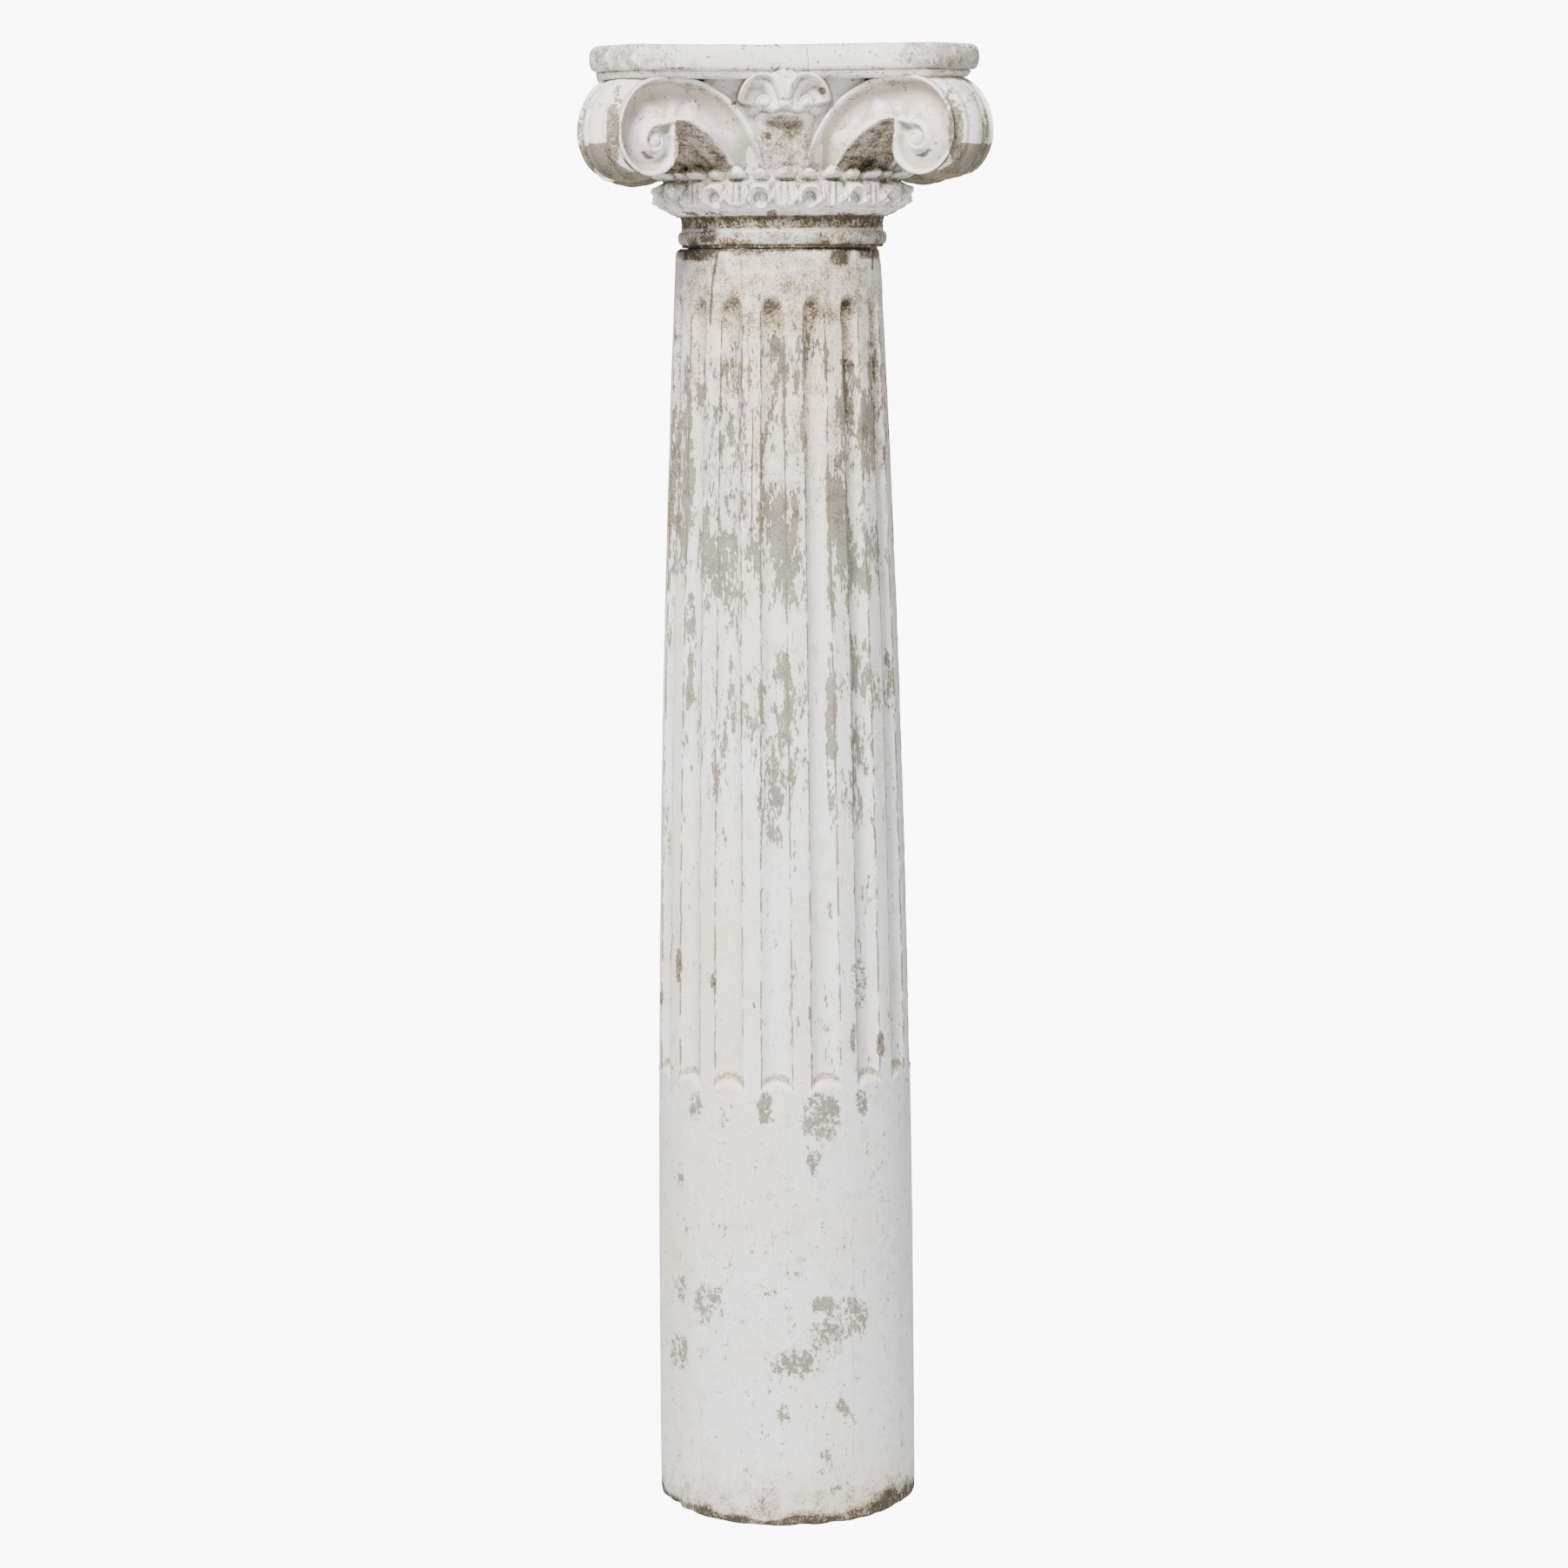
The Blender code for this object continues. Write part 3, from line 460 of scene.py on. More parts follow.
class Graph:
    """Writes a node tree: numbers, colours or sockets go in, sockets come out."""

    def __init__(self, tree):
        self.tree = tree

    def node(self, kind, inputs=None, **settings):
        made = self.tree.nodes.new(kind)
        for name, value in settings.items():
            setattr(made, name, value)
        for name, value in (inputs or {}).items():
            self.feed(made.inputs[name], value)
        return made

    def feed(self, socket, value):
        if isinstance(value, bpy.types.NodeSocket):
            self.tree.links.new(value, socket)
        else:
            socket.default_value = value

    def math(self, operation, first, second=0.5, clamp=False):
        made = self.node("ShaderNodeMath", {0: first, 1: second}, operation=operation,
                         use_clamp=clamp)
        return made.outputs[0]

    def add(self, first, second):
        return self.math("ADD", first, second)

    def less(self, first, second):
        return self.math("SUBTRACT", first, second)

    def times(self, first, second):
        return self.math("MULTIPLY", first, second)

    def over(self, first, second):
        return self.math("DIVIDE", first, second)

    def power(self, value, exponent):
        return self.math("POWER", value, exponent)

    def size(self, value):
        return self.math("ABSOLUTE", value)

    def ramp(self, value, low, high, to_low=0.0, to_high=1.0):
        made = self.node("ShaderNodeMapRange", {"Value": value, "From Min": low, "From Max": high,
                                                "To Min": to_low, "To Max": to_high},
                         interpolation_type="SMOOTHSTEP")
        return made.outputs["Result"]

    def vector(self, **parts):
        return self.node("ShaderNodeCombineXYZ", parts).outputs[0]

    def parts(self, vector):
        return self.node("ShaderNodeSeparateXYZ", {0: vector}).outputs

    def moved(self, vector, way):
        return self.node("ShaderNodeVectorMath", {0: vector, 1: way}, operation="ADD").outputs[0]

    def lengthened(self, vector, scale):
        made = self.node("ShaderNodeVectorMath", {0: vector, "Scale": scale}, operation="SCALE")
        return made.outputs[0]

    def stretch(self, vector, scale):
        made = self.node("ShaderNodeVectorMath", {0: vector, 1: scale}, operation="MULTIPLY")
        return made.outputs[0]

    def noise(self, vector, scale, detail=4.0, roughness=0.6):
        made = self.node("ShaderNodeTexNoise", {"Vector": vector, "Scale": scale, "Detail": detail,
                                                "Roughness": roughness})
        return made.outputs["Fac"]

    def swing(self, vector, scale, gain, detail=4.0, roughness=0.6):
        """Noise about nought, with its swing enlarged."""
        return self.times(self.less(self.noise(vector, scale, detail, roughness), 0.5), gain)

    def mix(self, share, first, second, blend="MIX"):
        made = self.node("ShaderNodeMix", data_type="RGBA", blend_type=blend)
        for index, value in ((0, share), (6, first), (7, second)):
            self.feed(made.inputs[index], (*value, 1.0) if isinstance(value, tuple) else value)
        return made.outputs[2]

    def tint(self, colour, mask, strength, laid):
        """A colour with another laid over it where a mask says, up to a strength."""
        return self.mix(self.times(mask, strength), colour, laid)


def add_sockets(tree, sockets, direction):
    """Give a tree its named inputs or outputs."""
    for name, kind, *value in sockets:
        made = tree.interface.new_socket(name, in_out=direction, socket_type=kind)
        if value:
            made.default_value = value[0]


def run_tree(piece, tree, values):
    """Put a geometry tree on a piece and set its inputs by the sockets' identifiers."""
    modifier = piece.modifiers.new(tree.name, "NODES")
    modifier.node_group = tree
    for item in tree.interface.items_tree:
        if item.name in values:
            modifier[item.identifier] = values[item.name]


def geometry_tree(name, inputs):
    """A geometry tree with named inputs: its graph and what comes in."""
    tree = bpy.data.node_groups.new(name, "GeometryNodeTree")
    add_sockets(tree, inputs, "INPUT")
    add_sockets(tree, (("Geometry", SHAPE),), "OUTPUT")
    return Graph(tree), tree.nodes.new("NodeGroupInput").outputs


def end_tree(g, shape, finish):
    """Lay the finish on a geometry tree's shape and let it out."""
    dressed = g.node("GeometryNodeSetMaterial", {"Geometry": shape, "Material": finish})
    g.feed(g.tree.nodes.new("NodeGroupOutput").inputs["Geometry"], dressed.outputs[0])
    return g.tree


def fluted_drum_tree():
    """Geometry tree of the shaft: a tapering drum with stopped flutes and a worn skin."""
    g, sizes = geometry_tree("fluted_drum", (
        ("Height", VALUE, SHAFT_HEIGHT), ("Foot Radius", VALUE, FOOT_RADIUS),
        ("Neck Radius", VALUE, NECK_RADIUS), ("Entasis", VALUE, ENTASIS_POWER),
        ("Flutes", COUNT, FLUTE_COUNT), ("Turn", VALUE, FLUTE_TURN),
        ("Low Width", VALUE, FLUTE_LOW_WIDTH), ("Top Width", VALUE, FLUTE_TOP_WIDTH),
        ("Depth", VALUE, FLUTE_DEPTH), ("Ledge Height", VALUE, FLUTE_LEDGE_HEIGHT),
        ("Ledge Rise", VALUE, FLUTE_LEDGE_RISE), ("Top Clearance", VALUE, FLUTE_TOP_CLEARANCE),
        ("Wear", VALUE, SKIN_WEAR), ("Seed", VALUE, SKIN_SEED), ("Finish", FINISH)))
    height, count, turn = sizes["Height"], sizes["Flutes"], sizes["Turn"]
    foot_radius, wear, seed = sizes["Foot Radius"], sizes["Wear"], sizes["Seed"]
    drum = g.node("GeometryNodeMeshCylinder",
                  {"Vertices": g.times(count, float(FLUTE_COLUMNS)), "Side Segments": SHAFT_ROWS,
                   "Fill Segments": 1, "Radius": foot_radius, "Depth": height}, fill_type="NGON")
    place = g.parts(g.node("GeometryNodeInputPosition").outputs[0])
    share = g.add(g.over(place["Z"], height), 0.5)
    spread = g.node("ShaderNodeFloatCurve", {"Value": share})
    points = spread.mapping.curves[0].points
    for along, up in ROW_SPREAD:
        points.new(along, up)
    for point in points:
        point.handle_type = "VECTOR"
    spread.mapping.update()
    level = g.times(spread.outputs[0], height)

    # Where a column lies across its flute: 0 in the middle, 1 at the arris, and more on the fillet
    azimuth = g.math("ARCTAN2", place["X"], g.times(place["Y"], -1.0))
    pitch = g.over(2.0 * math.pi, count)
    flutes = g.over(g.less(azimuth, turn), pitch)
    cell = g.math("ROUND", flutes)
    off = g.less(flutes, cell)
    side = g.math("SIGN", off)
    part = g.times(g.size(off), 2.0)
    inside = g.math("MINIMUM", g.over(part, FLUTE_SHARE_OF_COLUMNS), 1.0)
    inside = g.less(1.0, g.power(g.less(1.0, inside), FLUTE_CROWDING))
    beyond = g.over(g.less(part, FLUTE_SHARE_OF_COLUMNS), 1.0 - FLUTE_SHARE_OF_COLUMNS)
    beyond = g.power(g.math("MAXIMUM", beyond, 0.0), FILLET_CROWDING)
    taper = g.power(g.over(level, height), sizes["Entasis"])
    radius = g.less(foot_radius, g.times(g.less(foot_radius, sizes["Neck Radius"]), taper))
    narrowing = g.ramp(level, sizes["Ledge Height"], height, sizes["Low Width"], sizes["Top Width"])
    half_pitch = g.times(g.times(radius, pitch), 0.5)
    width = g.over(g.times(narrowing, 0.5), half_pitch)
    across = g.add(g.times(inside, width), g.times(beyond, g.less(1.0, width)))
    turned = g.add(turn, g.times(pitch, g.add(cell, g.times(g.times(side, across), 0.5))))

    # The hollow: stopped on a crescent ledge low down and closed by a round end at the top
    rest = g.less(1.0, g.power(inside, 2.0))
    ledge = g.add(sizes["Ledge Height"], g.times(sizes["Ledge Rise"], rest))
    opened = g.ramp(g.less(level, ledge), 0.0, FLUTE_LEDGE_SLOPE)
    end_radius = g.times(sizes["Top Width"], 0.5)
    round_end = g.times(g.math("SQRT", g.math("MAXIMUM", rest, 0.0)), end_radius)
    spring = g.less(g.less(height, sizes["Top Clearance"]), end_radius)
    closed = g.ramp(g.less(g.add(spring, round_end), level), 0.0, FLUTE_END_RUN)
    sound = g.times(opened, closed)
    hollow = g.times(g.less(1.0, g.power(inside, FLUTE_HOLLOW_POWER)), sound)
    hollow = g.times(hollow, sizes["Depth"])
    lip = g.ramp(g.size(g.less(level, g.less(ledge, LIP_DROP))), LIP_SPREAD, 0.0)
    lip = g.times(g.times(lip, LIP_RISE), g.ramp(inside, 1.0, 0.75))

    # The worn skin: low waves all over, and bites along the arrises
    direction = g.vector(X=g.math("SINE", turned), Y=g.times(g.math("COSINE", turned), -1.0))
    lift = g.vector(Z=level)
    skin = g.moved(g.lengthened(direction, radius), lift)
    noise_at = g.moved(skin, g.vector(X=seed, Y=seed))
    waves = g.less(g.noise(noise_at, 14.0, 3.0), 0.5)
    bites = g.ramp(g.noise(g.stretch(noise_at, (1.0, 1.0, 0.45)), 70.0, 2.0), 0.52, 0.72)
    arris = g.times(g.ramp(g.size(g.less(across, width)), ARRIS_SPREAD, 0.0), sound)
    worn = g.add(g.times(waves, wear), g.times(g.times(bites, arris), g.times(wear, -BITE_SHARE)))
    reach = g.add(g.less(radius, hollow), g.add(lip, worn))
    where = g.moved(g.lengthened(direction, reach), lift)

    # What the finish reads: the hollows, the arrises, the ledges and the rust line above each
    slope = g.times(g.times(opened, g.less(1.0, opened)), 4.0)
    above = g.size(g.less(g.less(level, ledge), FLUTE_LEDGE_SLOPE + RUST_RISE))
    above = g.ramp(above, RUST_SPREAD, 0.0)
    kept = drum.outputs[0]
    for name, value in (("hollow", g.over(hollow, sizes["Depth"])), ("arris", arris),
                        ("ledge", g.times(slope, g.ramp(inside, 1.0, 0.86))),
                        ("rust", g.times(above, g.ramp(inside, 1.0, 0.80)))):
        kept = g.node("GeometryNodeStoreNamedAttribute",
                      {"Geometry": kept, "Name": name, "Value": value},
                      data_type="FLOAT", domain="POINT").outputs[0]
    shaped = g.node("GeometryNodeSetPosition", {"Geometry": kept, "Position": where}).outputs[0]
    plain = g.node("GeometryNodeRealizeInstances", {"Geometry": shaped}).outputs[0]
    return end_tree(g, plain, sizes["Finish"])


def turned_copies_tree():
    """Geometry tree that sets copies of a carving round the column's axis."""
    g, sizes = geometry_tree("turned_copies", (("Geometry", SHAPE), ("Count", COUNT, 4),
                                               ("Finish", FINISH)))
    spots = g.node("GeometryNodePoints", {"Count": sizes["Count"]})
    index = g.node("GeometryNodeInputIndex").outputs[0]
    turn = g.vector(Z=g.times(index, g.over(2.0 * math.pi, sizes["Count"])))
    copies = g.node("GeometryNodeInstanceOnPoints", {
        "Points": spots.outputs[0], "Instance": sizes["Geometry"], "Rotation": turn}).outputs[0]
    plain = g.node("GeometryNodeRealizeInstances", {"Geometry": copies}).outputs[0]
    joined = g.node("GeometryNodeMergeByDistance", {"Geometry": plain, "Distance": SEAM_DISTANCE})
    return end_tree(g, joined.outputs[0], sizes["Finish"])


def edge_loss(azimuths, edge_distance, losses):
    """How far broken edges lie inside the sound one."""
    loss = np.zeros(len(azimuths))
    for middle, half_width, depth, reach in losses:
        turn = math.radians(middle) - azimuths
        away = np.abs(np.degrees(np.arctan2(np.sin(turn), np.cos(turn))))
        fade = np.clip(1.0 - edge_distance / reach, 0.0, 1.0)
        loss = np.maximum(loss, depth * ease(1.0 - away / half_width) * fade)
    return loss


def wander(points, scale, seed):
    """A cheap rolling noise from a few crossed waves, between -1 and 1."""
    chance = np.random.default_rng(seed)
    total = np.zeros(len(points))
    for _ in range(7):
        direction = chance.normal(size=3)
        direction *= scale * chance.uniform(0.6, 1.7) / np.linalg.norm(direction)
        total += np.sin(points @ direction + chance.uniform(0.0, 2.0 * math.pi))
    return total / 4.0


def build_shaft(finish):
    """The shaft: the fluted drum, then its broken and nibbled edges."""
    corners = [(0.0, 0.0, 0.0), (0.1, 0.0, 0.0), (0.0, 0.1, 0.0)]
    blank = mesh_object("shaft_blank", corners, [(0, 1, 2)])
    run_tree(blank, fluted_drum_tree(), {"Finish": finish})
    shaft = baked(blank, "weathered_shaft")
    mesh = shaft.data
    points = mesh_points(mesh)
    radius = np.hypot(points[:, 0], points[:, 1])
    azimuth = np.arctan2(points[:, 0], -points[:, 1])
    height = points[:, 2]
    from_top = SHAFT_HEIGHT - height
    rough = 1.0 + 0.35 * wander(points, 160.0, 3)
    loss = edge_loss(azimuth, height, FOOT_LOSSES) * rough
    loss = np.maximum(loss, edge_loss(azimuth, from_top, TOP_LOSSES) * rough)
    nibble = NIBBLE_DEPTH * ease(0.3 + 0.9 * wander(points, 210.0, 8))
    loss += nibble * np.clip(1.0 - height / FOOT_NIBBLE_HEIGHT, 0.0, 1.0)
    loss += 1.5 * nibble * np.clip(1.0 - from_top / TOP_NIBBLE_HEIGHT, 0.0, 1.0)
    loss += FOOT_BEVEL * np.clip(1.0 - height / FOOT_BEVEL, 0.0, 1.0) ** 2
    loss += TOP_BEVEL * np.clip(1.0 - from_top / TOP_BEVEL, 0.0, 1.0) ** 2
    kept = np.maximum(radius - np.where(radius > END_FACE_MIDDLE, loss, 0.0), 0.0)
    points[:, :2] *= (kept / np.maximum(radius, 1e-6))[:, None]
    set_points(mesh, points)
    return shaft


def core_outline():
    """Radius and height of the turned core, from its foot to inside the abacus, as cast."""
    foot = NECK_RADIUS - ASTRAGAL_FOOT_INSET
    crest = NECK_RADIUS + ASTRAGAL_PROJECTION
    necking = NECK_RADIUS - NECKING_INSET
    roll = (ASTRAGAL_HEIGHT - ASTRAGAL_FOOT) / 2.0
    bed = foot - JOINT_BED_INSET
    outline = [(bed, -JOINT_BED_DEPTH), (bed, 0.0), (foot, 0.0), (foot, ASTRAGAL_FOOT * 0.4)]
    for step in range(13):
        angle = math.pi * step / 12.0
        swell = (crest - foot) * math.sin(angle) ** 0.8
        base = foot + (necking - foot) * step / 12.0
        outline.append((base + swell * (crest - base) / (crest - foot),
                        ASTRAGAL_FOOT + roll * (1.0 - math.cos(angle))))
    hollow = NECKING_TOP - ASTRAGAL_HEIGHT
    for step in range(1, 9):
        share = step / 8.0
        inset = NECKING_HOLLOW * math.sin(math.pi * share)
        outline.append((necking + NECKING_INSET * share - inset, ASTRAGAL_HEIGHT + hollow * share))
    ring = RING_RADIUS - RING_CORE_INSET
    for step in range(1, 7):
        share = step / 6.0
        outline.append((NECK_RADIUS + (ring - NECK_RADIUS) * math.sin(QUARTER * share) ** 0.9,
                        NECKING_TOP + RING_FOOT_RISE * (1.0 - math.cos(QUARTER * share))))
    outline += [(ring, RING_TOP - 0.014), (RING_RADIUS - 0.012, RING_TOP - 0.003),
                (RING_RADIUS - 0.018, RING_TOP + 0.0005)]
    bell = ((RING_RADIUS - BELL_WAIST_INSET, RING_TOP + BELL_WAIST_RISE),
            (RING_RADIUS - BELL_MIDDLE_INSET - 0.003, RING_TOP + BELL_HEIGHT / 2.0),
            (RING_RADIUS - BELL_TOP_INSET, ABACUS_FOOT + BELL_BITE))
    for step in range(21):
        outline.append(tuple(spline_point(bell, step / 20.0)))
    return outline


def build_core():
    """Astragal, necking, the ring's bed and the bell, turned in one."""
    outline = core_outline()
    points = []
    for radius, height in outline:
        # the bell keeps the horizontal tool marks of its casting
        mark = TOOL_MARK * math.sin(height * 2100.0) if height > RING_TOP + 0.006 else 0.0
        for step in range(CORE_COLUMNS):
            azimuth = 2.0 * math.pi * step / CORE_COLUMNS
            points.append(around(radius + mark * (1.0 + math.sin(azimuth * 5.0)), azimuth, height))
    return turned_solid("turned_core", points, len(outline), CORE_COLUMNS)


def abacus_row(inset, height):
    """One level of the abacus, drawn in from its widest: four hollow sides and cut corners."""
    middle = ABACUS_MIDDLE - inset
    reach = ABACUS_CORNER_X + ABACUS_CORNER_Y - inset * math.sqrt(2.0)
    half = (-1.0 + math.sqrt(1.0 + 4.0 * ABACUS_SWEEP * (reach - middle))) / (2.0 * ABACUS_SWEEP)
    points = []
    for side in range(4):
        turn = Matrix.Rotation(side * QUARTER, 3, "Z")
        for step in range(ABACUS_COLUMNS + 1):
            across = half * (2.0 * step / ABACUS_COLUMNS - 1.0)
            points.append(turn @ Vector((across, -middle - ABACUS_SWEEP * across ** 2, height)))
    return points


def turned_solid(name, points, rows, columns):
    """A solid from closed rows of points, with a flat face at each end."""
    faces = grid_faces(rows, columns, ring=True)
    last = (rows - 1) * columns
    faces += [tuple(range(columns)), tuple(range(last, last + columns))]
    return mesh_object(name, points, faces)


def build_abacus():
    """The moulded top plate: cavetto, fillet and bullnose."""
    nose_foot = CAPITAL_HEIGHT - BULLNOSE_HEIGHT
    fillet_foot = nose_foot - FILLET_HEIGHT
    cove = fillet_foot - ABACUS_FOOT
    rows = [(BULLNOSE_PROJECTION + CAVETTO_DEPTH, ABACUS_FOOT)]
    for step in range(1, 6):
        angle = QUARTER * step / 5.0
        rows.append((BULLNOSE_PROJECTION + 0.0012 + CAVETTO_DEPTH * (1.0 - math.sin(angle)) * 0.9,
                     ABACUS_FOOT + cove * (1.0 - math.cos(angle))))
    rows += [(BULLNOSE_PROJECTION - 0.0004, fillet_foot + 0.0006),
             (BULLNOSE_PROJECTION - 0.0006, nose_foot - 0.0012),
             (BULLNOSE_PROJECTION + 0.0020, nose_foot)]
    for step in range(1, 18):
        angle = math.pi * step / 18.0
        drawn = BULLNOSE_PROJECTION if angle < QUARTER else BULLNOSE_SETBACK
        rows.append((drawn * (1.0 - math.sin(angle) ** 0.62),
                     nose_foot + BULLNOSE_HEIGHT * (0.5 - 0.5 * math.cos(angle))))
    rows.append((BULLNOSE_SETBACK, CAPITAL_HEIGHT))
    points = []
    for inset, height in rows:
        points += abacus_row(inset, height)
    return turned_solid("moulded_abacus", points, len(rows), 4 * (ABACUS_COLUMNS + 1))


def sweep_length(across):
    """Length along a scroll face's plan curve, from the middle of the side."""
    slope = 2.0 * SCROLL_SWEEP * across
    return across / 2.0 * math.sqrt(1.0 + slope * slope) + math.asinh(slope) / (4.0 * SCROLL_SWEEP)


def across_at(length):
    """Distance from the middle of the side at a length along the plan curve."""
    across = length
    for _ in range(8):
        slope = 2.0 * SCROLL_SWEEP * across
        across -= (sweep_length(across) - length) / math.sqrt(1.0 + slope * slope)
    return across


def face_point(length, height, lift):
    """Point on a scroll face, lifted off it, at a length from the middle and a height."""
    across = across_at(length)
    slope = 2.0 * SCROLL_SWEEP * across
    swept = SCROLL_MIDDLE + SCROLL_SWEEP * across ** 2
    turned = math.sqrt(max((RING_RADIUS - ARM_FOOT_INSET) ** 2 - across ** 2, 0.0))
    share = ease((height - RING_TOP) / ARM_FOOT_RUN)
    share = max(share, ease((across - EYE_X / 2.0) / (EYE_X / 4.0)))
    normal = Vector((-slope, -1.0, 0.0)).normalized()
    return Vector((across, -(turned + (swept - turned) * share), height)) + normal * lift


def scroll_radius(angle):
    """Radius of the spiral at an angle from its top, growing outwards and down."""
    quarters = angle / QUARTER - 1.0
    if quarters < 0.0:
        return SCROLL_RADIUS * (SCROLL_TOP_RADIUS / SCROLL_RADIUS) ** -quarters
    first = SCROLL_FIRST_RATIO ** min(quarters, SCROLL_FIRST_QUARTERS)
    whorl = SCROLL_WHORL_RATIO ** max(quarters - SCROLL_FIRST_QUARTERS, 0.0)
    bump = NOTCH_BUMP * max(0.0, 1.0 - abs(angle - NOTCH_ANGLE) / NOTCH_SPREAD)
    return SCROLL_RADIUS * first * whorl + bump


def scroll_end():
    """Angle at which the coil runs into the eye's button."""
    inner = SCROLL_RADIUS * SCROLL_FIRST_RATIO ** SCROLL_FIRST_QUARTERS
    whorls = math.log(BUTTON_RADIUS / inner) / math.log(SCROLL_WHORL_RATIO)
    return QUARTER * (1.0 + SCROLL_FIRST_QUARTERS + whorls)


def scroll_lift(angle):
    """How far the spiral stands off the face: it sinks to the notch, and deeper along the coil."""
    sunk = ease((angle - 0.5 * QUARTER) / (NOTCH_ANGLE - 0.5 * QUARTER))
    deeper = ease((angle - NOTCH_ANGLE) / (2.0 * QUARTER))
    return -DISH_SINK * float(sunk) * 0.35 - DISH_SINK * 0.65 * float(deeper)


def face_shares(shares):
    """Length and height on a scroll face, from shares of the eye's distance and the bell."""
    return sweep_length(shares[0] * EYE_X), RING_TOP + shares[1] * BELL_HEIGHT


def scroll_angle(place):
    """Angle round the eye at a place counted in steps from the arm's foot."""
    return NOTCH_ANGLE - 2.0 * math.pi + (place - ARM_STEPS) * 2.0 * math.pi / SCROLL_TURN_STEPS


def rim_at(place):
    """Outer rim of arm and scroll at a place counted in steps from the arm's foot."""
    upper = [face_shares(shares) for shares in ARM_UPPER]
    first = ARM_STEPS + 2
    if place <= ARM_STEPS - 1:
        return spline_point(upper, place / ARM_STEPS)
    if place < first:
        marks = [spline_point(upper, (ARM_STEPS - 1.0) / ARM_STEPS), upper[-1],
                 face_shares(ARM_CREST), rim_at(first), rim_at(first + 1)]
        return spline_point(marks, (place - ARM_STEPS + 1.0) / 4.0)
    angle = scroll_angle(place)
    radius = scroll_radius(angle)
    return sweep_length(EYE_X) + radius * math.sin(angle), EYE_HEIGHT + radius * math.cos(angle)


def channel_section(width, end_rim=0.0):
    """Across the channel, from its rim into a scoop: share of the width, drop below the rims."""
    rim = min(RIM_WIDTH / width, 0.30)
    end_rim = end_rim / width
    depth = min(CHANNEL_DEPTH, CHANNEL_SLOPE * width)
    section = [(rim * 0.15, -0.0010), (rim * 0.45, -0.0018), (rim * 0.80, -0.0008)]
    for step in range(SECTION_STEPS):
        along = step / (SECTION_STEPS - 1.0)
        scoop = math.sin(math.pi * min(1.0, 0.94 * along ** 0.66 + 0.06)) ** 0.8
        section.append((rim + (1.0 - rim - end_rim) * along * 0.985, depth * scoop))
    section.append((1.0 - end_rim * 0.5, -0.0017 if end_rim else -0.0002))
    return section


def eye_section(width):
    """From the coil's rim to the middle of the eye: the rim, a groove and the round button."""
    foot = max(1.0 - BUTTON_RADIUS / width, 0.0)
    rim = min(COIL_RIM_WIDTH / width, foot * 0.45)
    depth = min(CHANNEL_DEPTH * 0.5, 0.55 * (foot - rim) * width)
    section = [(rim * 0.15, -0.0005), (rim * 0.5, -0.0008), (rim * 0.9, -0.0002)]
    half = SECTION_STEPS // 2
    for step in range(half):
        along = (step + 0.5) / half
        section.append((rim + (foot - rim) * along, depth * math.sin(math.pi * along ** 0.8)))
    for step in range(SECTION_STEPS - half + 1):
        along = step / (SECTION_STEPS - half + 1.0)
        section.append((foot + (1.0 - foot) * (along * 0.9 + 0.05),
                        -BUTTON_RISE * math.sin(QUARTER * along)))
    return section


def build_horn():
    """A corner horn: two scroll faces, mirrored across the diagonal, and the band between them."""
    turn_steps = SCROLL_TURN_STEPS * FINE_STEPS
    arm_steps = ARM_STEPS * FINE_STEPS
    lower = [face_shares(shares) for shares in ARM_LOWER]
    coiled = scroll_end() - scroll_angle(ARM_STEPS)
    last_place = ARM_STEPS + coiled * SCROLL_TURN_STEPS / (2.0 * math.pi)
    count = int(last_place * FINE_STEPS)
    rims = [rim_at(index / FINE_STEPS) for index in range(count + 1)]
    lifts = [scroll_lift(scroll_angle(index / FINE_STEPS)) for index in range(count + 1)]
    eye = (sweep_length(EYE_X), EYE_HEIGHT)
    points = [face_point(*rim, lift) for rim, lift in zip(rims, lifts)]
    grid = [[index] for index in range(len(rims))]
    points.append(face_point(*eye, lifts[-1] + BUTTON_RISE))
    centre = len(points) - 1
    inner_edge = []
    for index, rim in enumerate(rims):
        later = index + turn_steps
        if index < arm_steps:
            target = spline_point(lower, index / arm_steps)
            target_lift = 0.0
            last = len(points)
            points.append(face_point(*target, target_lift))
            inner_edge.append(last)
        elif later < len(rims):
            last, target, target_lift = later, rims[later], lifts[later]
        else:
            last, target, target_lift = centre, eye, lifts[-1]
        run = (target[0] - rim[0], target[1] - rim[1])
        width = math.hypot(*run)
        section = eye_section(width) if last == centre else channel_section(
            width, ARM_LOWER_RIM if index < arm_steps else 0.0)
        for share, drop in section:
            lift = lifts[index] + (target_lift - lifts[index]) * share - drop
            points.append(face_point(rim[0] + run[0] * share, rim[1] + run[1] * share, lift))
            grid[index].append(len(points) - 1)
        grid[index].append(last)
    faces = []
    for near, far in zip(grid, grid[1:]):
        for column in range(len(near) - 1):
            corners = (near[column], near[column + 1], far[column + 1], far[column])
            faces.append(tuple(dict.fromkeys(corners)))
    faces.append(tuple(grid[-1]))
    outline = [row[0] for row in grid[:arm_steps + turn_steps + 1]] + inner_edge[::-1]
    outline += grid[0][1:-1][::-1]
    return close_horn(points, faces, outline, len(inner_edge))


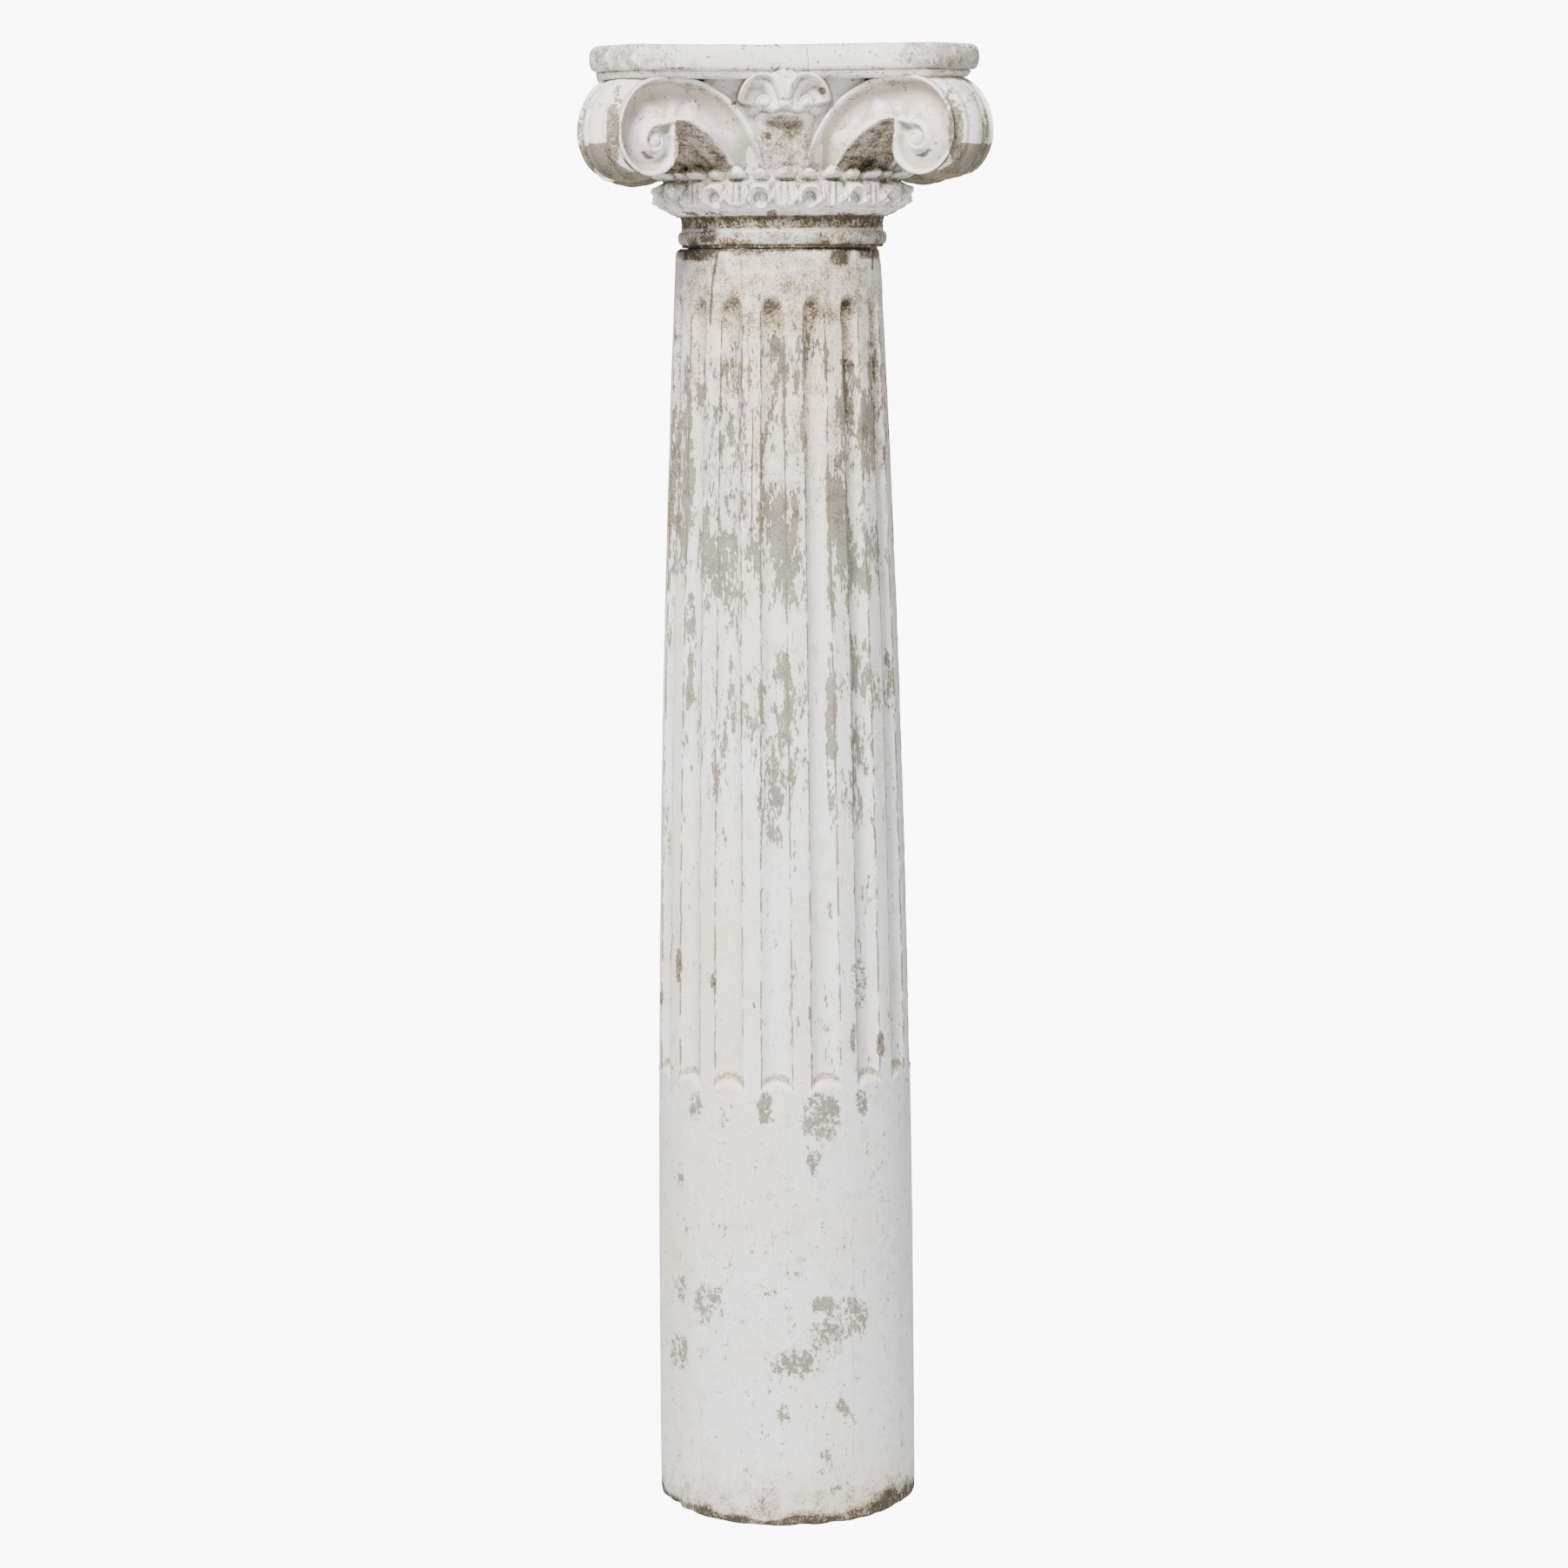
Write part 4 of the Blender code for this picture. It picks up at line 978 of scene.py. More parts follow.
def close_horn(points, faces, outline, inner_count):
    """Mirror a scroll face across the diagonal and lay the band between the two silhouettes."""
    count = len(points)
    size = len(outline)
    points = points + [Vector((-point.y, -point.x, point.z)) for point in points]
    faces = faces + [tuple(index + count for index in reversed(face)) for face in faces]
    first = (ARM_STEPS + 1) * FINE_STEPS
    last = (ARM_STEPS + SCROLL_TURN_STEPS - 1) * FINE_STEPS
    fade = BAND_FADE_STEPS * FINE_STEPS
    soffit_first = (ARM_STEPS + SCROLL_TURN_STEPS) * FINE_STEPS + 1
    middles = []
    for index in outline:
        middle = (points[index] + points[index + count]) / 2.0
        middles.append(Vector((math.hypot(middle.x, middle.y), middle.z)))
    rows = [outline]
    for step_row in range(1, BAND_ROWS):
        share = step_row / BAND_ROWS
        folded = min(share, 1.0 - share)
        swell = band_swell(folded)
        wave = 0.5 - 0.5 * math.cos(folded * 2.0 * math.pi / SOFFIT_PITCH)
        lines = -SOFFIT_GROOVE * wave if folded < SOFFIT_SHARE else 0.0
        row = []
        for step, index in enumerate(outline):
            along = middles[(step + 2) % size] - middles[step - 2]
            outward = Vector((-along.y, along.x)).normalized()
            weight = float(ease((step - first) / fade) * ease((last - step) / fade))
            lift = swell * weight
            if soffit_first <= step < soffit_first + inner_count:
                lift = lines
            spot = points[index].lerp(points[index + count], share)
            out = outward.x * lift / math.sqrt(2.0)
            row.append(len(points))
            points.append(spot + Vector((out, -out, outward.y * lift)))
        rows.append(row)
    rows.append([index + count for index in outline])
    for near, far in zip(rows, rows[1:]):
        for step in range(size):
            beside = (step + 1) % size
            faces.append((near[step], near[beside], far[beside], far[step]))
    return mesh_object("corner_horn", points, faces)


def band_swell(share):
    """Swell of the band at a share of its width, from the rim to the middle."""
    for (low, start), (high, end) in zip(BAND_PROFILE, BAND_PROFILE[1:]):
        if share <= high:
            return start + (end - start) * float(ease((share - low) / (high - low)))
    return BAND_PROFILE[-1][1]


def build_leaf_block():
    """One rosette with its hood, between two half leaves, as a block on the ring's bed."""
    half_pitch = math.pi / LEAF_COUNT
    share_up, azimuths = np.linspace(0.0, 1.0, 62), np.linspace(-half_pitch, half_pitch, 61)
    angle, share = np.meshgrid(azimuths, share_up)
    along = angle * RING_RADIUS
    leaf = np.abs(along) - half_pitch * RING_RADIUS
    # the top edge is scalloped: leaf tips in front, smaller tips behind the rosettes
    low = NECKING_TOP - 0.001
    high = RING_TOP + 0.0005 + LEAF_TIP_RISE * hump(leaf, 0.0105)
    high += BACK_TIP_RISE * hump(along, 0.0100)
    high -= TIP_NOTCH * hump(np.abs(leaf) - TIP_GROOVE_PLACE, 0.0045)
    height = low + (high - low) * share
    under = ease((height - low) / RING_UNDERCUT_HEIGHT)
    relief = -RING_BED_DROP - RING_UNDERCUT * (1.0 - under) ** 1.5
    # rosette: a rounded hood, thick at its shoulders, round a drilled dish whose foot is open
    from_hole = np.hypot(along, height - ROSETTE_HEIGHT)
    from_hood = np.hypot(along * 0.92, height - ROSETTE_HEIGHT - HOOD_LIFT)
    shoulders = ease((height - ROSETTE_HEIGHT + 0.0085) / 0.0075)
    relief += HOOD_SWELL * hump(from_hood - HOOD_RADIUS, 0.0038) * shoulders
    relief += ROSETTE_SWELL * hump(from_hole, ROSETTE_SPREAD)
    relief -= HOOD_SPLIT * hump(along, 0.0014) * hump(height - ROSETTE_HEIGHT - 0.0140, 0.0040)
    relief -= ROSETTE_DEPTH * np.sqrt(np.clip(1.0 - (from_hole / ROSETTE_HOLE) ** 2, 0.0, 1.0))
    # tip over the rosette, with the dark lens under it
    relief += BACK_TIP_SWELL * hump(along, 0.0095) * hump(height - BACK_TIP_HEIGHT, 0.0060)
    relief -= BACK_LENS_DEPTH * hump(along, 0.0105) * hump(height - BACK_LENS_HEIGHT, 0.0030)
    # leaf: a swelling blade with a rib and raised edges, and a tip that curls over
    blade = BLADE_HALF_WIDTH - BLADE_NARROWING * ease((0.060 - height) / 0.018)
    body = ease((BLADE_TOP - height) / 0.004)
    relief += BLADE_SWELL * np.clip(1.0 - (leaf / blade) ** 2, 0.0, 1.0) ** 0.6 * body
    relief -= BLADE_FOLD_DEPTH * hump(np.abs(leaf) - BLADE_FOLD_PLACE, 0.0020) * body
    relief += BLADE_RIB * hump(leaf, 0.0012) * body
    relief -= BLADE_GAP_DEPTH * hump(np.abs(leaf) - blade - 0.0016, 0.0018) * body
    tip = hump(leaf, 0.0096) ** 0.6
    relief += LEAF_TIP_SWELL * tip * hump(height - LEAF_TIP_HEIGHT, 0.0062) ** 0.7
    relief -= LEAF_LENS_DEPTH * hump(leaf, 0.0110) * hump(height - LEAF_TIP_LOW, 0.0030)
    groove = hump(np.abs(leaf) - TIP_GROOVE_PLACE, 0.0042)
    relief -= TIP_GROOVE_DEPTH * groove * ease((height - 0.0760) / 0.0050)
    relief -= 0.0060 * ease((share - 0.96) / 0.04)
    relief += 0.0005 * np.sin(np.abs(along) * 900.0 + height * 500.0) * np.sin(height * 700.0)
    radius = RING_RADIUS + np.minimum(relief, RING_RELIEF_MOST)
    turn = angle + half_pitch
    rear = RING_RADIUS - RING_BACK
    # two rear rows close the section, and the next copy closes the ends
    radius = np.vstack([radius, np.full((2, radius.shape[1]), rear)])
    height = np.vstack([height, height[-1:], height[:1]])
    turn = np.vstack([turn, turn[:2]])
    points = np.stack([radius * np.sin(turn), -radius * np.cos(turn), height], axis=-1)
    rows, columns = radius.shape
    faces = grid_faces(rows, columns)
    last = (rows - 1) * columns
    faces += [(last + column, last + column + 1, column + 1, column)
              for column in range(columns - 1)]
    return mesh_object("leaf_and_rosette", points.reshape(-1, 3), faces)


def build_bud_block():
    """The scrolled bud, its ribbed stem and the web beside them, as a carved block on one side."""
    half, low, high = WEB_HALF_WIDTH, RING_TOP - 0.008, ABACUS_FOOT + BUD_TOP_RISE + 0.004
    across, height = np.meshgrid(np.linspace(-half, half, 170), np.linspace(low, high, 112))
    away = np.abs(across)
    front = ABACUS_MIDDLE - BUD_SETBACK
    eye_height = ABACUS_FOOT - BUD_EYE_DROP
    top = ABACUS_FOOT + BUD_TOP_RISE
    # stem: flares up from the ring, carries upright ribs and runs out softly under the arms
    rise = np.clip((height - RING_TOP) / (ABACUS_FOOT - BUD_DROP - RING_TOP), 0.0, 1.6)
    stem_half = STEM_FOOT_HALF_WIDTH - STEM_WAIST * np.sin(np.minimum(rise, 1.3) * 2.2)
    ribs = STEM_RIB_RISE * np.cos(away / stem_half * math.pi * 2.6)
    ribs *= ease((1.0 - away / stem_half) * 3.0)
    ribs *= ease((1.25 - rise) / 0.5)
    depth = RING_RADIUS - STEM_FOOT_INSET + STEM_LEAN * rise ** 1.3 + ribs
    depth -= STEM_SHOULDER * ease((away / stem_half - 0.70) / 0.9)
    # web: the bell's upper edge, which shows between the lobes and the arms
    below = np.clip(ABACUS_FOOT - 0.012 - height, 0.0, 1.0)
    depth = np.maximum(depth, RING_RADIUS + WEB_PROUD - WEB_SLOPE * below)
    arm_side = np.interp(height, [RING_TOP + up * BELL_HEIGHT for _, up in ARM_UPPER],
                         [share * EYE_X for share, _ in ARM_UPPER])
    depth -= ARM_CLEARANCE * ease((away - arm_side - 0.0020) / 0.007)
    # calyx: the bulging body behind the lobes
    lobe_across = (away - BUD_EYE_X) / LOBE_HALF_WIDTH
    drop = LOBE_DROP + LOBE_DROP_OUTSIDE * ease((away - 0.026) / 0.020)
    over_eye = height - eye_height
    lobe_up = np.where(height > eye_height, over_eye / (top - eye_height), over_eye / drop)
    lobe = np.hypot(lobe_across, lobe_up)
    middle = np.hypot(away / BUD_HEART_SIZE, (over_eye - 0.015) / BUD_HEART_SIZE)
    heart = np.minimum(lobe, middle + 0.06)
    soft = ease((eye_height + 0.003 - height) / 0.009) * ease((away - 0.016) / 0.012)
    inside = ease((1.0 - heart) / (0.08 + 0.95 * soft))
    face = np.full_like(across, front - BUD_FACE_SETBACK)
    arch = ease((over_eye - 0.001) / 0.012)
    rim = hump(lobe - BUD_RIM_PLACE, 0.120) * arch
    face += BUD_RIM_RISE * rim
    narrow = 0.0060 + 0.42 * np.clip(over_eye - 0.002, 0.0, 0.03)
    crown = ease((1.25 - away / narrow) / 0.8) * ease((over_eye + 0.002) / 0.007)
    face += BUD_CROWN_RISE * crown * (1.0 - rim * 0.9)
    # the hollow curls over and outside the scroll end
    wide, tall = BUD_HOLLOW_SIZE
    scoop = np.hypot((away - BUD_HOLLOW_X) / wide, (over_eye - 0.0010) / tall)
    scooped = ease((1.0 - scoop) / 0.50) * ease((over_eye + 0.0170) / 0.0120)
    face -= BUD_HOLLOW_DEPTH * scooped
    # scroll ends: a raised coil with a sunk line and a button
    from_eye = np.hypot(away - BUD_EYE_X + 0.001, over_eye)
    turn = np.arctan2(over_eye, away - BUD_EYE_X + 0.001)
    coil = from_eye + BUD_COIL_GROWTH * turn / math.pi
    disc = ease((BUD_EYE_RADIUS - coil) / 0.0022)
    flat = front - BUD_COIL_SETBACK - BUD_COIL_LEAN * over_eye
    face = np.where(disc > 0.0, face * (1.0 - disc) + flat * disc, face)
    face -= BUD_COIL_LINE_DEPTH * hump(coil - BUD_COIL_LINE, 0.0014) * disc
    face += BUD_BUTTON_RISE * hump(from_eye, 0.0026)
    # broken little bud between the scroll ends
    wide, tall = BUD_KNOB_SIZE
    knob = np.hypot((across - 0.001) / wide, (over_eye + 0.0005) / tall)
    broken = 0.0010 * np.sin(across * 1500.0 + height * 900.0) * np.sin(height * 1700.0)
    little = (front - BUD_KNOB_SETBACK + broken) * (knob < 1.3)
    little -= 0.0060 * np.clip(knob, 0.0, 1.3) ** 2
    face = np.maximum(face, little)
    merged = np.maximum(depth, depth * (1.0 - inside) + face * inside)
    depth = np.where(inside > 0.0, merged, depth)
    # shadow gap below the lobes
    gap = hump(height - (ABACUS_FOOT - BUD_DROP - BUD_GAP_DROP), 0.0062)
    depth -= BUD_GAP_DEPTH * gap * ease((0.029 - away) / 0.010)
    front_face = np.stack([across, -depth, height], axis=-1)
    rear = RING_RADIUS - BUD_REAR_INSET
    return closed_block("scrolled_bud", front_face, lambda spot: (spot[0] * 0.9, -rear, spot[2]))


def join_pieces(name, pieces):
    """One mesh from several, and the pieces gone."""
    work = bmesh.new()
    for piece in pieces:
        work.from_mesh(piece.data)
        bpy.data.objects.remove(piece, do_unlink=True)
    bmesh.ops.recalc_face_normals(work, faces=work.faces)
    mesh = bpy.data.meshes.new(name)
    work.to_mesh(mesh)
    work.free()
    return add_object(name, mesh)


def smoothed(mesh, points, rounds, share):
    """Points relaxed towards their neighbours."""
    edges = np.empty(len(mesh.edges) * 2, dtype=np.int64)
    mesh.edges.foreach_get("vertices", edges)
    first, second = edges.reshape(-1, 2).T
    valence = np.bincount(edges, minlength=len(points)).reshape(-1, *([1] * (points.ndim - 1)))
    for _ in range(rounds):
        total = np.zeros_like(points)
        np.add.at(total, first, points[second])
        np.add.at(total, second, points[first])
        points = points + share * (total / valence - points)
    return points


def finish_carving(name, pieces, finish):
    """Join carvings to one piece, soften it as thick paint does, wear it and set it in place."""
    carved = join_pieces(name, pieces)
    mesh = carved.data
    mesh.materials.clear()
    mesh.materials.append(finish)
    points = smoothed(mesh, mesh_points(mesh), 1, CARVING_SOFTNESS)
    set_points(mesh, points)
    wear = BROAD_WEAR * wander(points, 55.0, 21) + FINE_WEAR * wander(points, 190.0, 5)
    points = points + mesh_normals(mesh) * np.minimum(wear, 0.0)[:, None]
    turn = np.array(Matrix.Rotation(CAPITAL_TURN, 3, "Z"))
    set_points(mesh, points @ turn.T + np.array((CAPITAL_SHIFT_X, 0.0, CAPITAL_BASE)))
    return carved


def build_capital(finish):
    """The capital's three carvings: abacus and bell, corner horns, and the ring of leaves."""
    copies = turned_copies_tree()
    sets = []
    carvings = ((build_horn(), 4), (build_leaf_block(), LEAF_COUNT), (build_bud_block(), 4))
    for carving, count in carvings:
        run_tree(carving, copies, {"Count": count, "Finish": finish})
        sets.append(baked(carving, "set_of_" + carving.name))
    horns, leaves, buds = sets
    return (finish_carving("abacus_and_bell", [build_core(), build_abacus(), buds], finish),
            finish_carving("corner_horns", [horns], finish),
            finish_carving("leaf_ring", [leaves], finish))


def camera_turn():
    """The camera's turn: level, tipped down and a little rolled."""
    level = Matrix.Rotation(math.radians(90.0) - CAMERA_DOWN, 3, "X")
    return level @ Matrix.Rotation(CAMERA_ROLL, 3, "Z")


def photo_place(points):
    """Where points fall in the photograph, in pixels across and down."""
    seen = (points - np.array(CAMERA_PLACE)) @ np.array(camera_turn())
    focal = CAMERA_LENS / SENSOR_WIDTH * PHOTO_SIZE
    across = PHOTO_SIZE * 0.5 + focal * seen[:, 0] / -seen[:, 2]
    down = PHOTO_SIZE * (0.5 + CAMERA_SHIFT) - focal * seen[:, 1] / -seen[:, 2]
    return across, down


def photo_spot(across, down, radius):
    """The point at a radius from the axis that the photograph shows at a pixel."""
    focal = CAMERA_LENS / SENSOR_WIDTH * PHOTO_SIZE
    sight = camera_turn() @ Vector(((across - PHOTO_SIZE * 0.5) / focal,
                                    (PHOTO_SIZE * (0.5 + CAMERA_SHIFT) - down) / focal, -1.0))
    start = Vector(CAMERA_PLACE)
    a = sight.x ** 2 + sight.y ** 2
    b = start.x * sight.x + start.y * sight.y
    c = start.x ** 2 + start.y ** 2 - radius ** 2
    return start + sight * ((-b - math.sqrt(max(b * b - a * c, 0.0))) / a)


def patches(across, down, marks, soft=0.35):
    """Strength of the patches over each place. A mark is left, right, top, bottom and strength."""
    total = np.zeros(len(across))
    for left, right, top, bottom, strength in marks:
        aside = np.abs(across - (left + right) / 2.0) / ((right - left) / 2.0)
        above = np.abs(down - (top + bottom) / 2.0) / ((bottom - top) / 2.0)
        near = ease((1.0 + soft - (aside ** 3 + above ** 3) ** (1.0 / 3.0)) / (2.0 * soft))
        total = np.where(np.abs(strength) * near > np.abs(total), strength * near, total)
    return total


# Patches on the front, in the photograph's pixels: left, right, top, bottom, strength
SHAFT_FLAKES = ((764, 1026, 388, 560, 0.44), (762, 1032, 540, 716, 0.44),
                (760, 1036, 690, 970, 0.27), (768, 800, 470, 662, 0.86),
                (881, 905, 385, 500, 0.80), (885, 909, 552, 700, 0.72), (887, 911, 740, 860, 0.86),
                (881, 903, 840, 970, 0.58), (944, 977, 546, 640, 0.84), (948, 962, 638, 709, 0.80),
                (950, 962, 756, 858, 0.74), (944, 960, 899, 938, 0.66),
                (937, 957, 1024, 1066, 0.72), (979, 997, 752, 803, 0.66),
                (981, 995, 822, 858, 0.62), (983, 993, 907, 954, 0.62),
                (1015, 1024, 746, 826, 0.72), (789, 801, 671, 826, 0.62),
                (807, 852, 607, 662, 0.72), (854, 873, 622, 662, 0.74), (838, 848, 740, 846, 0.58),
                (816, 850, 404, 520, 0.66), (955, 980, 430, 545, 0.58),
                (988, 1012, 395, 560, 0.60), (872, 888, 1257, 1291, 0.74),
                (920, 968, 1257, 1312, 0.70), (983, 997, 1251, 1284, 0.60),
                (928, 944, 1320, 1349, 0.64), (793, 807, 1253, 1288, 0.58),
                (779, 787, 1343, 1367, 0.55), (934, 959, 1489, 1514, 0.90),
                (957, 998, 1491, 1537, 0.56), (929, 975, 1519, 1560, 0.56),
                (881, 945, 1555, 1583, 0.58), (893, 909, 1617, 1637, 0.74),
                (961, 977, 1610, 1630, 0.72), (777, 790, 1471, 1494, 0.62),
                (797, 831, 1473, 1519, 0.54), (772, 792, 1532, 1573, 0.52),
                (942, 958, 1666, 1696, 0.50), (946, 968, 1706, 1718, 0.52))
SHAFT_SOUND = ((927, 950, 440, 1240, 1.0), (879, 900, 500, 552, 0.9), (858, 874, 440, 600, 0.5),
               (800, 815, 480, 600, 0.7), (905, 925, 1000, 1240, 0.5), (762, 930, 960, 1240, 0.35))
SHAFT_SPOTS = ((777, 784, 1091, 1130, 1.0), (817, 824, 1121, 1136, 1.0),
               (757, 763, 1141, 1155, 1.0), (979, 984, 1176, 1216, 1.0),
               (1008, 1017, 1186, 1215, 1.0), (929, 934, 1157, 1176, 0.9),
               (866, 870, 1150, 1162, 0.7), (979, 997, 1099, 1160, 0.45),
               (912, 916, 960, 1004, 0.6))
SHAFT_GRIME = ((768, 1022, 288, 392, 0.48), (768, 1026, 380, 620, 0.26),
               (779, 1016, 282, 289, 1.0), (780, 826, 284, 301, 0.95), (953, 978, 286, 306, 1.0),
               (836, 880, 284, 296, 0.7), (985, 1012, 286, 298, 0.75), (766, 800, 360, 470, 0.34),
               (940, 1020, 325, 440, 0.30), (770, 830, 320, 400, 0.26), (882, 905, 336, 372, 0.20),
               (902, 972, 1740, 1757, 0.40), (762, 785, 380, 640, 0.30),
               (1000, 1030, 330, 560, 0.30))
SHAFT_WARM = ((762, 858, 960, 1260, 0.62), (790, 905, 1240, 1440, 0.40),
              (764, 1030, 280, 560, 0.85), (764, 1034, 540, 800, 0.50),
              (760, 800, 1300, 1760, 0.45), (905, 950, 1040, 1240, 0.30),
              (780, 1040, 1690, 1760, 0.55))
OPEN_CRACKS = (((824.6, 291), (819, 325), 0.0030, 0.004), ((819, 325), (816.6, 373), 0.0022, 0.004),
               ((1004, 286), (1003, 310), 0.0024, 0.003), ((866, 470), (864, 610), 0.0010, 0.004))
FILLED_CRACKS = (((981, 1400), (982, 1740), 0.0011, 0.001),
                 ((934, 1345), (969, 1394), 0.0010, 0.006),
                 ((803, 1594), (809, 1710), 0.0012, 0.006), ((807, 605), (873, 606), 0.0016, 0.005))
CAPITAL_CRACK = ((927, 50), (930, 84), 0.0009, 0.006)
PHOTO_MIDDLE = 901.5
PHOTO_FOOT = 1755.0
PHOTO_NECK = 284.0
BARE_TOP = 165.0
BAND_EDGES = (705.0, 1097.0)
SEEN_BAND_EDGES = (686.0, 1112.0)
RECESS_REACH = (57.0, 128.0)
LOWER_RIM_MARKS = ((59.5, 189.0), (71.5, 172.0), (87.5, 152.0), (114.5, 136.0), (124.5, 137.5))
# Patches at 879-926 by 132-144, 882-922 by 132-140 and 868-936 by 138-198 paint the shadow under
# the bud and down its stem
CAPITAL_DIRT_AND_SHADE = ((879, 926, 132, 144, 0.56), (868, 936, 138, 198, 0.58),
                 (778, 800, 263, 284, 0.95), (799, 812, 268, 285, 0.80),
                 (811, 824, 261, 280, 0.95), (823, 850, 272, 285, 0.85), (849, 866, 276, 285, 0.7),
                 (900, 925, 277, 285, 0.6), (934, 960, 275, 285, 0.75),
                 (968, 1012, 276, 285, 0.75), (880, 915, 246, 262, 0.55),
                 (742, 800, 196, 240, 0.34), (1030, 1052, 196, 238, 0.42),
                 (1078, 1096, 60, 82, 0.6), (882, 922, 132, 140, 0.22), (700, 735, 76, 88, 0.34))
CAPITAL_CHIPS = ((880, 895, 242, 249, 0.95), (960, 986, 244, 255, 0.80),
                 (1004, 1018, 233, 245, 0.85), (810, 832, 243, 248, 0.80),
                 (941, 950, 100, 109, 0.95), (841, 847, 115, 121, 0.8), (880, 887, 152, 161, 0.85),
                 (763, 795, 77, 80, 0.7), (857, 863, 77, 81, 0.8), (889, 896, 77, 82, 0.8),
                 (853, 902, 49, 54, 0.55))
CAPITAL_LICHEN = ((672, 736, 46, 82, 0.85), (1030, 1130, 46, 82, 0.9), (672, 700, 88, 130, 0.4),
                  (1085, 1132, 90, 150, 0.5))
CAPITAL_MOSS = ((697, 712, 122, 192, 0.95), (1091, 1107, 122, 188, 1.0), (704, 715, 100, 124, 0.5),
                (1086, 1098, 98, 124, 0.5))
CAPITAL_BLUE = ((688, 712, 49, 57, 0.7), (767, 775, 49, 56, 0.9))


def round_view(points):
    """Photograph places for the shaft's points: the back takes the front's marks, a bit lower."""
    behind = points[:, 1] > 0.0
    turned = points.copy()
    turned[behind, 1] *= -1.0
    turned[behind, 2] += 0.045 * ease(points[behind, 1] / 0.08) * (points[behind, 2] < 1.3)
    return photo_place(turned)


def side_view(points):
    """Photograph places for the capital's points, with each of its sides turned to the front."""
    middle = np.array((CAPITAL_SHIFT_X, 0.0, 0.0))
    turned = points - middle
    azimuth = np.arctan2(turned[:, 0], -turned[:, 1]) - CAPITAL_TURN
    side = np.round(azimuth / QUARTER)
    cosine, sine = np.cos(side * QUARTER), np.sin(side * QUARTER)
    front = np.stack([turned[:, 0] * cosine + turned[:, 1] * sine,
                      turned[:, 1] * cosine - turned[:, 0] * sine, turned[:, 2]], axis=1)
    odd = np.abs(side) == 1.0
    front[odd, 0] *= -1.0
    return photo_place(front + middle)


def weather_shaft(shaft):
    """Where the shaft's paint is lost, dirty or warm, and the shade painted in its flutes' tops."""
    mesh = shaft.data
    points = mesh_points(mesh)
    across, down = round_view(points)
    hollow = np.empty(len(points))
    mesh.attributes["hollow"].data.foreach_get("value", hollow)
    flake = patches(across, down, SHAFT_FLAKES)
    flake = np.where(flake > 0.5, 0.5 + (flake - 0.5) * 0.55, flake)
    flake *= 1.0 - 0.85 * patches(across, down, SHAFT_SOUND, 0.12)
    flake = np.maximum(flake, 0.05)
    height = points[:, 2]
    azimuth = np.degrees(np.arctan2(points[:, 0], -points[:, 1]))
    broken = 0.0095 + 0.010 * hump(azimuth + 62.0, 22.0) + 0.012 * hump(azimuth - 55.0, 24.0)
    foot = 1.30 * ease(1.3 - height / (broken * (1.0 + 0.55 * wander(points, 70.0, 15))))
    # dirt patches, the broken foot's dark edge, a darkening towards the foot, and the dark joint at
    # the top
    grime_and_shade = patches(across, down, SHAFT_GRIME) + foot + 0.46 * ease(1.0 - height / 0.085)
    grime_and_shade += 1.1 * ease(1.0 - (SHAFT_HEIGHT - height) / 0.0065)
    # painted shade in the flutes' rounded tops, with some brown dirt
    over_top = height - (SHAFT_HEIGHT - FLUTE_TOP_CLEARANCE)
    grime_and_shade += hollow * (0.34 * hump(over_top + 0.014, 0.012) + 0.20 * hump(over_top + 0.06, 0.06))
    write_field(mesh, "flake", flake)
    write_field(mesh, "grime_and_shade", grime_and_shade)
    write_field(mesh, "spots", patches(across, down, SHAFT_SPOTS, 0.25))
    write_field(mesh, "warm", patches(across, down, SHAFT_WARM, 0.6))


def outside(across, edges):
    """Which places lie outside two edges of the photograph."""
    left, right = edges
    return np.maximum(ease((left - across) / 5.0), ease((across - right) / 5.0))


